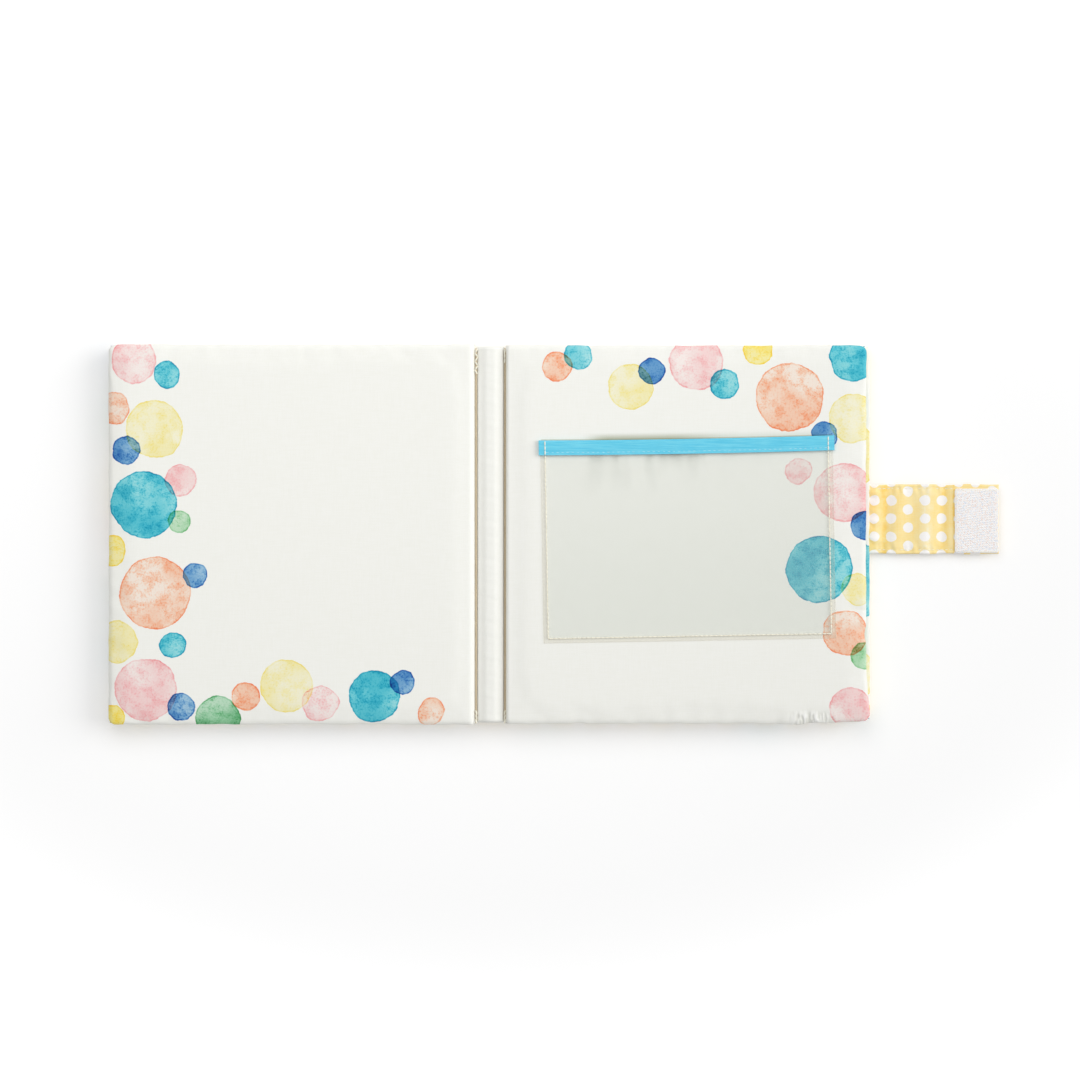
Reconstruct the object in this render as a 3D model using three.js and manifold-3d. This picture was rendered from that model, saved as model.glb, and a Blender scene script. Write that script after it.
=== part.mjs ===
// Soft photo album for a baby, lying open flat on its back at the middle spread.
// Two padded covers and two padded leaves are sewn to a padded spine strip along two stitch lines.
// Each panel is a foam sheet between two fabric faces that meet in a seam round its edge.
// Every right-hand page has a clear vinyl pocket for one print, and a strap closes the album.
// Millimetres. X runs across the open album, Y up the pages, Z up from the table.
// The origin is the middle of the spine's underside.

import * as THREE from 'three';
import { mergeVertices } from 'three/addons/utils/BufferGeometryUtils.js';
import Module from 'manifold-3d';

const wasm = await Module();
wasm.setup();

// Cloth, foam and the gaps between sewn pieces
const fabric = 0.8;
const seamGap = 0.3;
const coverThickness = 7;
const leafThickness = 7;
const stitchedThickness = 1.9; // of a leaf's two faces at the stitch line

// The print that a pocket holds, and the pocket round it
const printWidth = 152;
const printHeight = 102;
const pocketEase = 10; // of the side stitches over the print
const pocketDepthEase = 11.3; // of the mouth and bottom stitches over the print
const stitchInset = 2.2; // of the stitches from the vinyl's edge
const vinyl = 0.4;
const vinylSwell = 0.5;
const windowSteps = [8, 6]; // across and along the vinyl
const mouthFlat = 6; // how sharply the vinyl's swell ends at its mouth
const pocketTilt = THREE.MathUtils.degToRad(1);
const bindingWidth = 8.5;
const bindingOverhang = 0.8;
const bindingCloth = 0.4;
const bindingGap = 0.2;
const bindingGrip = 6.5; // of the vinyl's edge inside the folded binding
const bindingSteps = 4;

// Bare margins of a page round its pocket, which set the page's size
const gutterMargin = 20.15;
const foreMargin = 18.05;
const headMargin = 53;
const tailMargin = 47.5;

// How much wider than the right leaf the other panels are
const backCoverExtra = 1.6;
const frontCoverExtra = 2.3;
const leftLeafExtra = 3;

// Room between layers
const pocketRoom = 2; // between a cover and its leaf
const closedRoom = 2.5; // between the two leaves when the album is closed

// Padded form
const cornerRadius = 5;
const leastRadius = 0.6;
const drawIn = 1; // of an edge between its corners
const crown = 0.8; // of a page's middle over its shoulder
const shoulder = 16; // from the edge to the flat middle of a page
const gutterTaper = 5; // over which a leaf thins down to its stitch line
const foamSetBack = 3; // of a leaf's foam from the thin end of its faces
const cornerSteps = 3;
const sideSteps = 4;
const outsideSteps = 3; // round a padded edge
const insideSteps = 2;

// Spine strip
const spineRound = 3.6;
const spineCorner = 2;
const spineShort = 0.5; // at each end, under the pages' length
const stripEdge = 1; // height of the strip's rounded edge over its seam
const stripRound = 1.2;
const stripCrown = 2.4;

// Strap and hook and loop tape
const strapWidth = 39.9;
const strapCentre = 8.85;
const strapThickness = 2;
const strapEdge = 1.3; // thickness along its stitched sides
const strapHem = 4;
const strapBase = 2.5;
const strapReach = 75.15; // past the back cover's edge
const strapLead = 2.1; // from the back cover's edge to the first fold line
const strapWave = 0.35;
const strapLongSteps = 10;
const hookWidth = 25.2;
const hookHeight = 37;
const hookThickness = 1.3;
const hookMargin = 0.3; // from the strap's end
const hookAbove = -0.9; // of the tape's middle over the strap's middle
const tapeCorner = 1.5;
const tapeSteps = 2;
const loopWidth = 30;
const loopHeight = 41;
const loopThickness = 1.2;
const closingGap = 0.5; // between the hook and loop tape when strapped shut

// Places worked out from the sizes above
const stitchWidth = printWidth + pocketEase;
const vinylWidth = stitchWidth + 2 * stitchInset;
const bindingLength = vinylWidth + 2 * bindingOverhang;
const pocketHeight = printHeight + pocketDepthEase + stitchInset;
const pageHeight = tailMargin + pocketHeight + headMargin;
const pageWidth = gutterMargin + bindingLength + foreMargin;
const pageHalf = pageHeight / 2;
const spineWidth = 2 * leafThickness + closedRoom;
const stitchLine = spineWidth / 2;
const gutterEnd = stitchLine + seamGap / 2;
const spineHalf = stitchLine - seamGap / 2;
const leafBase = coverThickness + pocketRoom;
const leafTop = leafBase + leafThickness;
const closedHeight = leafBase + spineWidth + leafBase;
const backCoverEdge = stitchLine + pageWidth + backCoverExtra;
const strapTop = strapBase + strapThickness;
const strapRise = closedHeight + closingGap + hookThickness + seamGap - strapTop;
const firstFold = backCoverEdge + strapLead;
const secondFold = firstFold + strapRise;
const strapEnd = backCoverEdge + strapReach;
const hookCentreX = strapEnd - hookMargin - hookWidth / 2;
const hookCentreY = strapCentre + hookAbove;
const loopCentreX = -(firstFold - (hookCentreX - secondFold));

// Colours and finishes
const pageCloth = new THREE.MeshStandardMaterial({ color: 0xf4f4f0, roughness: 0.9, metalness: 0 });
const dottedCloth = new THREE.MeshStandardMaterial({ color: 0xfbdd93, roughness: 0.85, metalness: 0 });
const foamMaterial = new THREE.MeshStandardMaterial({ color: 0xf0eee6, roughness: 1, metalness: 0 });
const vinylMaterial = new THREE.MeshStandardMaterial({
  color: 0xdddfd6,
  roughness: 0.25,
  metalness: 0,
  transparent: true,
  opacity: 0.45,
});
const ribbonMaterial = new THREE.MeshStandardMaterial({ color: 0x5cc8e8, roughness: 0.7, metalness: 0 });
const tapeMaterial = new THREE.MeshStandardMaterial({ color: 0xf3f1ec, roughness: 0.8, metalness: 0 });

const album = new THREE.Group();

function piece(group, name, geometry, material) {
  const mesh = new THREE.Mesh(geometry, material);
  mesh.name = name;
  group.add(mesh);
  return mesh;
}

// A closed geometry from points and triangles, with its faces turned outwards
function closedGeometry(points, triangles) {
  let volume = 0;
  const a = new THREE.Vector3();
  const b = new THREE.Vector3();
  const c = new THREE.Vector3();
  for (const [i, j, k] of triangles) {
    a.fromArray(points[i]);
    b.fromArray(points[j]);
    c.fromArray(points[k]);
    volume += a.dot(b.cross(c));
  }
  const faces = volume < 0 ? triangles.map(([i, j, k]) => [i, k, j]) : triangles;
  const geometry = new THREE.BufferGeometry();
  geometry.setAttribute('position', new THREE.Float32BufferAttribute(points.flat(), 3));
  geometry.setIndex(faces.flat());
  geometry.computeVertexNormals();
  return geometry;
}

// A solid through rings of equally many points, with a fan over each end ring
function loft(rings) {
  const count = rings[0].length;
  const points = rings.flat();
  const triangles = [];
  for (let r = 0; r + 1 < rings.length; r++) {
    for (let i = 0; i < count; i++) {
      const j = (i + 1) % count;
      const low = r * count;
      const high = low + count;
      triangles.push([low + i, low + j, high + j], [low + i, high + j, high + i]);
    }
  }
  for (const end of [0, rings.length - 1]) {
    const middle = points.length;
    const mean = (axis) => rings[end].reduce((sum, point) => sum + point[axis], 0) / count;
    points.push([mean(0), mean(1), mean(2)]);
    for (let i = 0; i < count; i++) {
      const j = (i + 1) % count;
      const a = end * count + i;
      const b = end * count + j;
      triangles.push(end === 0 ? [middle, b, a] : [middle, a, b]);
    }
  }
  return closedGeometry(points, triangles);
}

// A sheet with a lower and an upper face over a grid: at(u, v) gives both points, u and v from 0 to 1
function sheet(across, along, at) {
  const points = [];
  for (let j = 0; j <= along; j++) {
    for (let i = 0; i <= across; i++) {
      const { low, high } = at(i / across, j / along);
      points.push(low, high);
    }
  }
  const index = (i, j, upper) => 2 * (j * (across + 1) + i) + upper;
  const triangles = [];
  const quad = (a, b, c, d) => triangles.push([a, b, c], [a, c, d]);
  for (let j = 0; j < along; j++) {
    for (let i = 0; i < across; i++) {
      quad(index(i, j, 1), index(i + 1, j, 1), index(i + 1, j + 1, 1), index(i, j + 1, 1));
      quad(index(i, j, 0), index(i, j + 1, 0), index(i + 1, j + 1, 0), index(i + 1, j, 0));
    }
    quad(index(0, j, 0), index(0, j, 1), index(0, j + 1, 1), index(0, j + 1, 0));
    quad(index(across, j, 0), index(across, j + 1, 0), index(across, j + 1, 1), index(across, j, 1));
  }
  for (let i = 0; i < across; i++) {
    quad(index(i, 0, 0), index(i + 1, 0, 0), index(i + 1, 0, 1), index(i, 0, 1));
    quad(index(i, along, 0), index(i, along, 1), index(i + 1, along, 1), index(i + 1, along, 0));
  }
  return closedGeometry(points, triangles);
}

function solid(geometry) {
  const bare = geometry.clone();
  bare.deleteAttribute('normal');
  bare.deleteAttribute('uv');
  const merged = mergeVertices(bare);
  return new wasm.Manifold(
    new wasm.Mesh({
      numProp: 3,
      vertProperties: new Float32Array(merged.attributes.position.array),
      triVerts: new Uint32Array(merged.index.array),
    }),
  );
}

function geometryOf(manifold) {
  const mesh = manifold.getMesh();
  const geometry = new THREE.BufferGeometry();
  geometry.setAttribute('position', new THREE.BufferAttribute(new Float32Array(mesh.vertProperties), 3));
  geometry.setIndex(new THREE.BufferAttribute(new Uint32Array(mesh.triVerts), 1));
  geometry.computeVertexNormals();
  return geometry;
}

function block(low, high) {
  const size = low.map((value, axis) => high[axis] - value);
  const geometry = new THREE.BoxGeometry(...size);
  geometry.translate(...low.map((value, axis) => (value + high[axis]) / 2));
  return geometry;
}

// One ring of a padded piece: a rounded rectangle set in from the piece's outline by the given inset.
// Its sides are drawn in between the corners, apart from a stitched side.
function ring(form, inset, heightAt) {
  const near = form.near + inset + (form.setBack ?? 0);
  const far = form.far - inset;
  const half = form.half - inset;
  const radius = Math.max((form.corner ?? cornerRadius) - inset, leastRadius);
  const pull = form.drawIn ?? drawIn;
  const corners = [
    { x: far - radius, y: -half + radius, turn: -90, inward: [-pull, 0] },
    { x: far - radius, y: half - radius, turn: 0, inward: [0, -pull] },
    { x: near + radius, y: half - radius, turn: 90, inward: [0, 0] },
    { x: near + radius, y: -half + radius, turn: 180, inward: [0, pull] },
  ];
  const arcPoint = (corner, share) => {
    const angle = THREE.MathUtils.degToRad(corner.turn + 90 * share);
    return [corner.x + radius * Math.cos(angle), corner.y + radius * Math.sin(angle)];
  };
  const flat = [];
  corners.forEach((corner, place) => {
    for (let i = 0; i <= cornerSteps; i++) flat.push(arcPoint(corner, i / cornerSteps));
    const from = arcPoint(corner, 1);
    const to = arcPoint(corners[(place + 1) % corners.length], 0);
    for (let i = 1; i < sideSteps; i++) {
      const share = i / sideSteps;
      const bow = 4 * share * (1 - share);
      flat.push([0, 1].map((k) => from[k] + (to[k] - from[k]) * share + corner.inward[k] * bow));
    }
  });
  return flat.map(([x, y]) => [form.side * x, y, heightAt(x)]);
}

// Rings of one face of a padded piece, from its seam inwards to its flat middle.
// way is 1 for the upper face and -1 for the lower one, offset how deep under the outside it lies.
function faceRings(form, way, offset, steps) {
  const face = way > 0 ? form.upper : form.lower;
  const rings = [];
  const height = (x, rounding, ramp) => {
    const swell = face.crown * form.share(x);
    const body = face.rise * form.share(x) - offset - swell;
    return form.seam(x) + way * Math.max(seamGap / 2, body * rounding + swell * ramp);
  };
  for (let i = 0; i <= steps; i++) {
    const angle = (Math.PI / 2) * (i / steps);
    const inset = offset + (face.round - offset) * (1 - Math.cos(angle));
    const rounding = Math.sin(angle);
    rings.push(ring(form, inset, (x) => height(x, rounding, 0)));
  }
  for (const share of face.crown > 0 ? [0.5, 1] : []) {
    const inset = face.round + (face.flat - face.round) * share;
    const ramp = (1 - Math.cos(Math.PI * share)) / 2;
    rings.push(ring(form, inset, (x) => height(x, 1, ramp)));
  }
  return rings;
}

// One fabric face of a padded piece: a shallow tray whose open side faces the seam
function tray(form, way) {
  const outside = faceRings(form, way, 0, outsideSteps);
  const inside = faceRings(form, way, fabric, insideSteps);
  return loft([...outside.reverse(), ...inside]);
}

// The foam inside, one gap clear of both trays
function filling(form) {
  const foam = { ...form, setBack: form.foamSetBack ?? 0 };
  const lower = faceRings(foam, -1, fabric + seamGap, insideSteps).reverse();
  const upper = faceRings(foam, 1, fabric + seamGap, insideSteps);
  return loft([...lower.slice(0, -1), ...upper.slice(1)]);
}

// The form of a cover, of the same thickness all over
function coverForm(side, width) {
  const half = coverThickness / 2;
  return {
    side,
    near: gutterEnd,
    far: stitchLine + width,
    half: pageHalf,
    share: () => 1,
    seam: () => half,
    upper: { rise: half, round: half, crown, flat: shoulder },
    lower: { rise: half, round: half, crown: 0, flat: half },
  };
}

// The form of a leaf, which thins down to its two faces at the stitch line
function leafForm(side, width) {
  const half = leafThickness / 2;
  const thin = stitchedThickness / leafThickness;
  const share = (x) => {
    const way = THREE.MathUtils.clamp((x - gutterEnd) / gutterTaper, 0, 1);
    return thin + (1 - thin) * Math.sin((Math.PI / 2) * way);
  };
  return {
    side,
    near: gutterEnd,
    far: stitchLine + width,
    half: pageHalf,
    share,
    seam: (x) => leafBase + half * share(x),
    foamSetBack,
    upper: { rise: half, round: half, crown, flat: shoulder },
    lower: { rise: half, round: half, crown: 0, flat: half },
  };
}

// The form of the spine: a deep fabric channel under a low crowned strip
function spineForm() {
  const seamHeight = leafBase - stripEdge;
  return {
    side: 1,
    near: -spineHalf,
    far: spineHalf,
    half: pageHalf - spineShort,
    drawIn: 0,
    corner: spineCorner,
    share: () => 1,
    seam: () => seamHeight,
    upper: {
      rise: stripEdge + stripCrown,
      round: stripRound,
      crown: stripCrown,
      flat: spineHalf - leastRadius,
    },
    lower: { rise: seamHeight, round: spineRound, crown: 0, flat: spineRound },
  };
}

// A pocket in its own frame: x and y from its middle, z up from the page's face
function pocketWindow() {
  const mouthLift = bindingCloth + bindingGap;
  const low = -pocketHeight / 2;
  const high = pocketHeight / 2 - bindingWidth + bindingGrip;
  const sewn = stitchInset / vinylWidth;
  return sheet(...windowSteps, (u, v) => {
    const x = (u - 0.5) * vinylWidth;
    const y = low + (high - low) * v;
    const inside = THREE.MathUtils.clamp((u - sewn) / (1 - 2 * sewn), 0, 1);
    const swell = vinylSwell * Math.sin(Math.PI * inside) * Math.sin((Math.PI / 2) * Math.min(1, v * 2));
    const open = mouthLift * v * v;
    const settle = 1 - v ** mouthFlat;
    const z = seamGap + open + swell * settle;
    return { low: [x, y, z], high: [x, y, z + vinyl] };
  });
}

// The mouth's binding: a ribbon folded over the vinyl's edge, drawn as its section and run along X
function pocketBinding() {
  const bottom = seamGap;
  const top = bottom + 2 * (bindingCloth + bindingGap) + vinyl;
  const width = bindingWidth;
  const fold = (top - bottom) / 2;
  const slot = bindingWidth - bindingGrip - bindingGap;
  const section = new THREE.Shape();
  section.moveTo(width, bottom);
  section.lineTo(width, bottom + bindingCloth);
  section.lineTo(slot, bottom + bindingCloth);
  section.lineTo(slot, top - bindingCloth);
  section.lineTo(width, top - bindingCloth);
  section.lineTo(width, top);
  section.lineTo(fold, top);
  section.absarc(fold, bottom + fold, fold, Math.PI / 2, (3 * Math.PI) / 2, false);
  section.lineTo(width, bottom);
  const geometry = new THREE.ExtrudeGeometry(section, {
    depth: bindingLength,
    bevelEnabled: false,
    curveSegments: bindingSteps,
  });
  geometry.translate(0, 0, -bindingLength / 2);
  geometry.rotateX(Math.PI / 2);
  geometry.rotateZ(-Math.PI / 2);
  geometry.translate(0, pocketHeight / 2, 0);
  return geometry;
}

// Puts a pocket on a right-hand page: face is 1 on a page that looks up now, -1 on one that looks down
function addPocket(group, name, face, side, height) {
  const pocket = new THREE.Group();
  const middleX = stitchLine + gutterMargin + bindingLength / 2;
  const middleY = -pageHalf + tailMargin + pocketHeight / 2;
  pocket.position.set(side * middleX, middleY, height);
  pocket.rotation.z = side * pocketTilt;
  if (face < 0) pocket.rotation.y = Math.PI;
  piece(pocket, `${name}_pocket_window`, pocketWindow(), vinylMaterial);
  piece(pocket, `${name}_pocket_binding`, pocketBinding(), ribbonMaterial);
  group.add(pocket);
}

// A patch of hook or loop tape with clipped round corners, lying on z = 0
function tapePatch(width, height, thickness) {
  const outline = new THREE.Shape();
  const x = width / 2 - tapeCorner;
  const y = height / 2 - tapeCorner;
  outline.absarc(x, -y, tapeCorner, -Math.PI / 2, 0, false);
  outline.absarc(x, y, tapeCorner, 0, Math.PI / 2, false);
  outline.absarc(-x, y, tapeCorner, Math.PI / 2, Math.PI, false);
  outline.absarc(-x, -y, tapeCorner, Math.PI, (3 * Math.PI) / 2, false);
  outline.closePath();
  return new THREE.ExtrudeGeometry(outline, {
    depth: thickness,
    bevelEnabled: false,
    curveSegments: tapeSteps,
  });
}

// A stretch of the doubled fabric strap, thinner along its stitched sides and softly waved up to waveTo
function strapStretch(from, to, waveTo, longSteps) {
  const acrossSteps = 4;
  const bounds = [-strapWidth / 2, -strapWidth / 2 + strapHem, 0, strapWidth / 2 - strapHem, strapWidth / 2];
  return sheet(longSteps, acrossSteps, (u, v) => {
    const x = from + (to - from) * u;
    const place = bounds[Math.round(v * acrossSteps)];
    const edge = Math.abs(place) === strapWidth / 2;
    const thin = edge ? (strapThickness - strapEdge) / 2 : 0;
    const run = waveTo > from ? THREE.MathUtils.clamp((x - from) / (waveTo - from), 0, 1) : 0;
    const wave = strapWave * Math.sin(Math.PI * run) * Math.sin(2 * Math.PI * run);
    const y = strapCentre + place;
    return { low: [x, y, strapBase + thin + wave], high: [x, y, strapTop - thin + wave] };
  });
}

// Back cover, which lies under the right-hand page and carries the strap
function addBackCover(group) {
  const form = coverForm(1, pageWidth + backCoverExtra);
  const mouthLow = [backCoverEdge - cornerRadius, strapCentre - strapWidth / 2 - seamGap, strapBase - seamGap];
  const mouthHigh = [backCoverEdge + cornerRadius, strapCentre + strapWidth / 2 + seamGap, strapTop + seamGap];
  const mouth = block(mouthLow, mouthHigh);
  const outer = geometryOf(solid(tray(form, -1)).subtract(solid(mouth)));
  const inner = geometryOf(solid(tray(form, 1)).subtract(solid(mouth)));
  piece(group, 'back_cover_outer_fabric', outer, dottedCloth);
  piece(group, 'back_cover_inner_fabric', inner, pageCloth);
  piece(group, 'back_cover_foam', filling(form), foamMaterial);
  addPocket(group, 'back_cover', 1, 1, coverThickness);

  const tabStart = backCoverEdge - drawIn - fabric;
  const tabEnd = firstFold - seamGap / 2;
  piece(group, 'strap_seam_tab', strapStretch(tabStart, tabEnd, tabStart, 1), dottedCloth);
}

// Spine between the two stitch lines
function addSpine(group) {
  const form = spineForm();
  piece(group, 'spine_outer_fabric', tray(form, -1), dottedCloth);
  piece(group, 'spine_gutter_strip', tray(form, 1), pageCloth);
  piece(group, 'spine_foam', filling(form), foamMaterial);
}

// Front cover, which lies under the left-hand page, with the loop tape pressed into its outside
function addFrontCover(group) {
  const form = coverForm(-1, pageWidth + frontCoverExtra);
  const aroundTape = (grow, depth, under) => {
    const halfX = loopWidth / 2 + grow;
    const halfY = loopHeight / 2 + grow;
    const low = [loopCentreX - halfX, strapCentre - halfY, under];
    const high = [loopCentreX + halfX, strapCentre + halfY, depth];
    return block(low, high);
  };
  const seat = loopThickness + seamGap;
  const pan = seat + fabric;
  const pressed = solid(tray(form, -1))
    .add(solid(aroundTape(seamGap + fabric, pan, 0)))
    .subtract(solid(aroundTape(seamGap, seat, -seat)));
  const hollow = aroundTape(2 * seamGap + fabric, pan + seamGap, 0);
  const foam = solid(filling(form)).subtract(solid(hollow));
  piece(group, 'front_cover_outer_fabric', geometryOf(pressed), dottedCloth);
  piece(group, 'front_cover_inner_fabric', tray(form, 1), pageCloth);
  piece(group, 'front_cover_foam', geometryOf(foam), foamMaterial);
  const patch = piece(group, 'closure_loop_patch', tapePatch(loopWidth, loopHeight, loopThickness), tapeMaterial);
  patch.position.set(loopCentreX, strapCentre, 0);
}

function addLeaf(group, name, side, extra, pocketFace) {
  const form = leafForm(side, pageWidth + extra);
  piece(group, `${name}_back_fabric`, tray(form, -1), pageCloth);
  piece(group, `${name}_front_fabric`, tray(form, 1), pageCloth);
  piece(group, `${name}_foam`, filling(form), foamMaterial);
  addPocket(group, name, pocketFace, side, pocketFace > 0 ? leafTop : leafBase);
}

function addStrap(group) {
  const waveEnd = strapEnd - hookMargin - hookWidth - strapHem;
  const half = seamGap / 2;
  const middle = strapStretch(firstFold + half, secondFold - half, secondFold - half, strapLongSteps);
  piece(group, 'strap_middle', middle, dottedCloth);
  piece(group, 'strap_tip', strapStretch(secondFold + half, strapEnd, waveEnd, strapLongSteps), dottedCloth);
  const patch = piece(group, 'strap_hook_patch', tapePatch(hookWidth, hookHeight, hookThickness), tapeMaterial);
  patch.position.set(hookCentreX, hookCentreY, strapTop + seamGap);
}

addBackCover(album);
addSpine(album);
addFrontCover(album);
addLeaf(album, 'left_leaf', -1, leftLeafExtra, -1);
addLeaf(album, 'right_leaf', 1, 0, 1);
addStrap(album);

export default album;
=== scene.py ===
"""Looks of the soft photo album: padded cloth, clear pockets and a dotted strap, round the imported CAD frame.

Metres. X runs across the open album, Y up the pages and Z up from the table, as in the CAD. The finishes
read places in millimetres.
"""

import logging
import math
import random
from dataclasses import dataclass, field, replace
from enum import Enum
from typing import Callable, Iterable, Optional, Sequence, Union

import bpy
import numpy as np
from mathutils import Matrix, Vector
from mathutils.bvhtree import BVHTree


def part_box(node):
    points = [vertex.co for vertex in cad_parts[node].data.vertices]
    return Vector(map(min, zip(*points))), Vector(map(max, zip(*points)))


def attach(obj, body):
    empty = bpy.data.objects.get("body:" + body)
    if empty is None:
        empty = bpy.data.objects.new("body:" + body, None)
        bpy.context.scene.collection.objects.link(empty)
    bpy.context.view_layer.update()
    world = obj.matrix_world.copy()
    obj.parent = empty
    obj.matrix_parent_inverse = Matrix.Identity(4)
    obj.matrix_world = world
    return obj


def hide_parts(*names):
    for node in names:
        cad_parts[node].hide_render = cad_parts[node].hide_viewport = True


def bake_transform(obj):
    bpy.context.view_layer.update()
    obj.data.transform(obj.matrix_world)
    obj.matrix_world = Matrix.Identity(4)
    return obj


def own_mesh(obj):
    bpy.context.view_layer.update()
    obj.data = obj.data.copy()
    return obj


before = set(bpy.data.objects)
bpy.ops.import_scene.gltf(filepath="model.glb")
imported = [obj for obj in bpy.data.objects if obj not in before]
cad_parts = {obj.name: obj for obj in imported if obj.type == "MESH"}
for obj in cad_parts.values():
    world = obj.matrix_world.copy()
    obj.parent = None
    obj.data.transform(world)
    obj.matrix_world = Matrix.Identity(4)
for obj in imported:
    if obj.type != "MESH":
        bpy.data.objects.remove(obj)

MM = 0.001
REST = "rest_place"
POCKET_MIDDLE = (112.4, -2.75)
HALF_POCKET = (83.2, 57.75)
POCKET_TILT = math.radians(1.0)
MOUTH_BOW = 0.6
SMOOTH = {"interpolation_type": "SMOOTHSTEP"}
Piece = bpy.types.Object
Socket = bpy.types.NodeSocket
Material = bpy.types.Material
Colour = tuple[float, float, float]
Run = tuple[float, float]
Shape = Callable[[np.ndarray, np.ndarray], np.ndarray]
Change = Callable[[np.ndarray], np.ndarray]

logging.basicConfig(level=logging.INFO, format="%(message)s")
log = logging.getLogger("album")


def colour(code: str) -> Colour:
    """Turns a written colour, six hexadecimal digits, into the linear one that a shader reads."""
    parts = [int(code[i : i + 2], 16) / 255 for i in (0, 2, 4)]
    return tuple(c / 12.92 if c <= 0.04045 else ((c + 0.055) / 1.055) ** 2.4 for c in parts)


class Ink(Enum):
    """The watercolour inks of the page print."""

    TEAL = "58c8de"
    LIGHT_TEAL = "7fd6e6"
    BLUE = "629cd5"
    PINK = "fddcdf"
    CORAL = "fed3bd"
    PALE_YELLOW = "fdf5c4"
    GOLD = "feea80"
    GREEN = "8fcda3"
    LIGHT_GREEN = "b2dfba"


INK_CONTRAST = {Ink.PINK: 1.35, Ink.CORAL: 1.5, Ink.PALE_YELLOW: 1.1}


class Face(Enum):
    """Which way a page looks on the open album."""

    UP = 1
    DOWN = -1


class Slot(Enum):
    """The record's material slots."""

    PAGE = "page_fabric"
    DOTTED = "polka_dot_fabric"
    FOAM = "foam"
    VINYL = "clear_vinyl"
    RIBBON = "blue_ribbon"
    TAPE = "white_tape"


class Value:
    """A number on a link between nodes, so that shader maths reads as plain expressions."""

    def __init__(self, shader: "Shader", socket: Socket) -> None:
        """Wraps one output socket of a shader."""
        self.shader = shader
        self.socket = socket

    def maths(self, operation: str, first: "Number", second: "Number" = 0.0) -> "Value":
        """Adds one Math node and gives its result."""
        node = self.shader.add("ShaderNodeMath", {"operation": operation}, {0: first, 1: second})
        return Value(self.shader, node.outputs[0])

    def __add__(self, other: "Number") -> "Value":
        """Adds a number."""
        return self.maths("ADD", self, other)

    __radd__ = __add__

    def __sub__(self, other: "Number") -> "Value":
        """Takes a number away."""
        return self.maths("SUBTRACT", self, other)

    def __rsub__(self, other: "Number") -> "Value":
        """Takes this value from a number."""
        return self.maths("SUBTRACT", other, self)

    def __mul__(self, other: "Number") -> "Value":
        """Multiplies by a number."""
        return self.maths("MULTIPLY", self, other)

    __rmul__ = __mul__

    def __truediv__(self, other: "Number") -> "Value":
        """Divides by a number."""
        return self.maths("DIVIDE", self, other)

    def __mod__(self, other: "Number") -> "Value":
        """Keeps what is left over a multiple, also below zero."""
        return self.maths("FLOORED_MODULO", self, other)

    def __abs__(self) -> "Value":
        """Drops the sign."""
        return self.maths("ABSOLUTE", self)

    def sign(self) -> "Value":
        """Gives 1 above zero and -1 below it."""
        return self.maths("SIGN", self)

    def sine(self) -> "Value":
        """Takes the sine of an angle in radians."""
        return self.maths("SINE", self)

    def least(self, other: "Number") -> "Value":
        """Keeps the smaller of two numbers."""
        return self.maths("MINIMUM", self, other)

    def most(self, other: "Number") -> "Value":
        """Keeps the larger of two numbers."""
        return self.maths("MAXIMUM", self, other)

    def ease(self, low: float, high: float, start: float = 0.0, end: float = 1.0) -> "Value":
        """Runs smoothly from start to end while the value goes from low to high."""
        sockets = {"Value": self, "From Min": low, "From Max": high, "To Min": start, "To Max": end}
        return self.shader.value(self.shader.add("ShaderNodeMapRange", SMOOTH, sockets))

    def fade(self, low: float, high: float) -> "Value":
        """Runs smoothly from 1 down to 0 while the value goes from low to high."""
        return self.ease(low, high, 1.0, 0.0)


Number = Union[float, Value]


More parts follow.
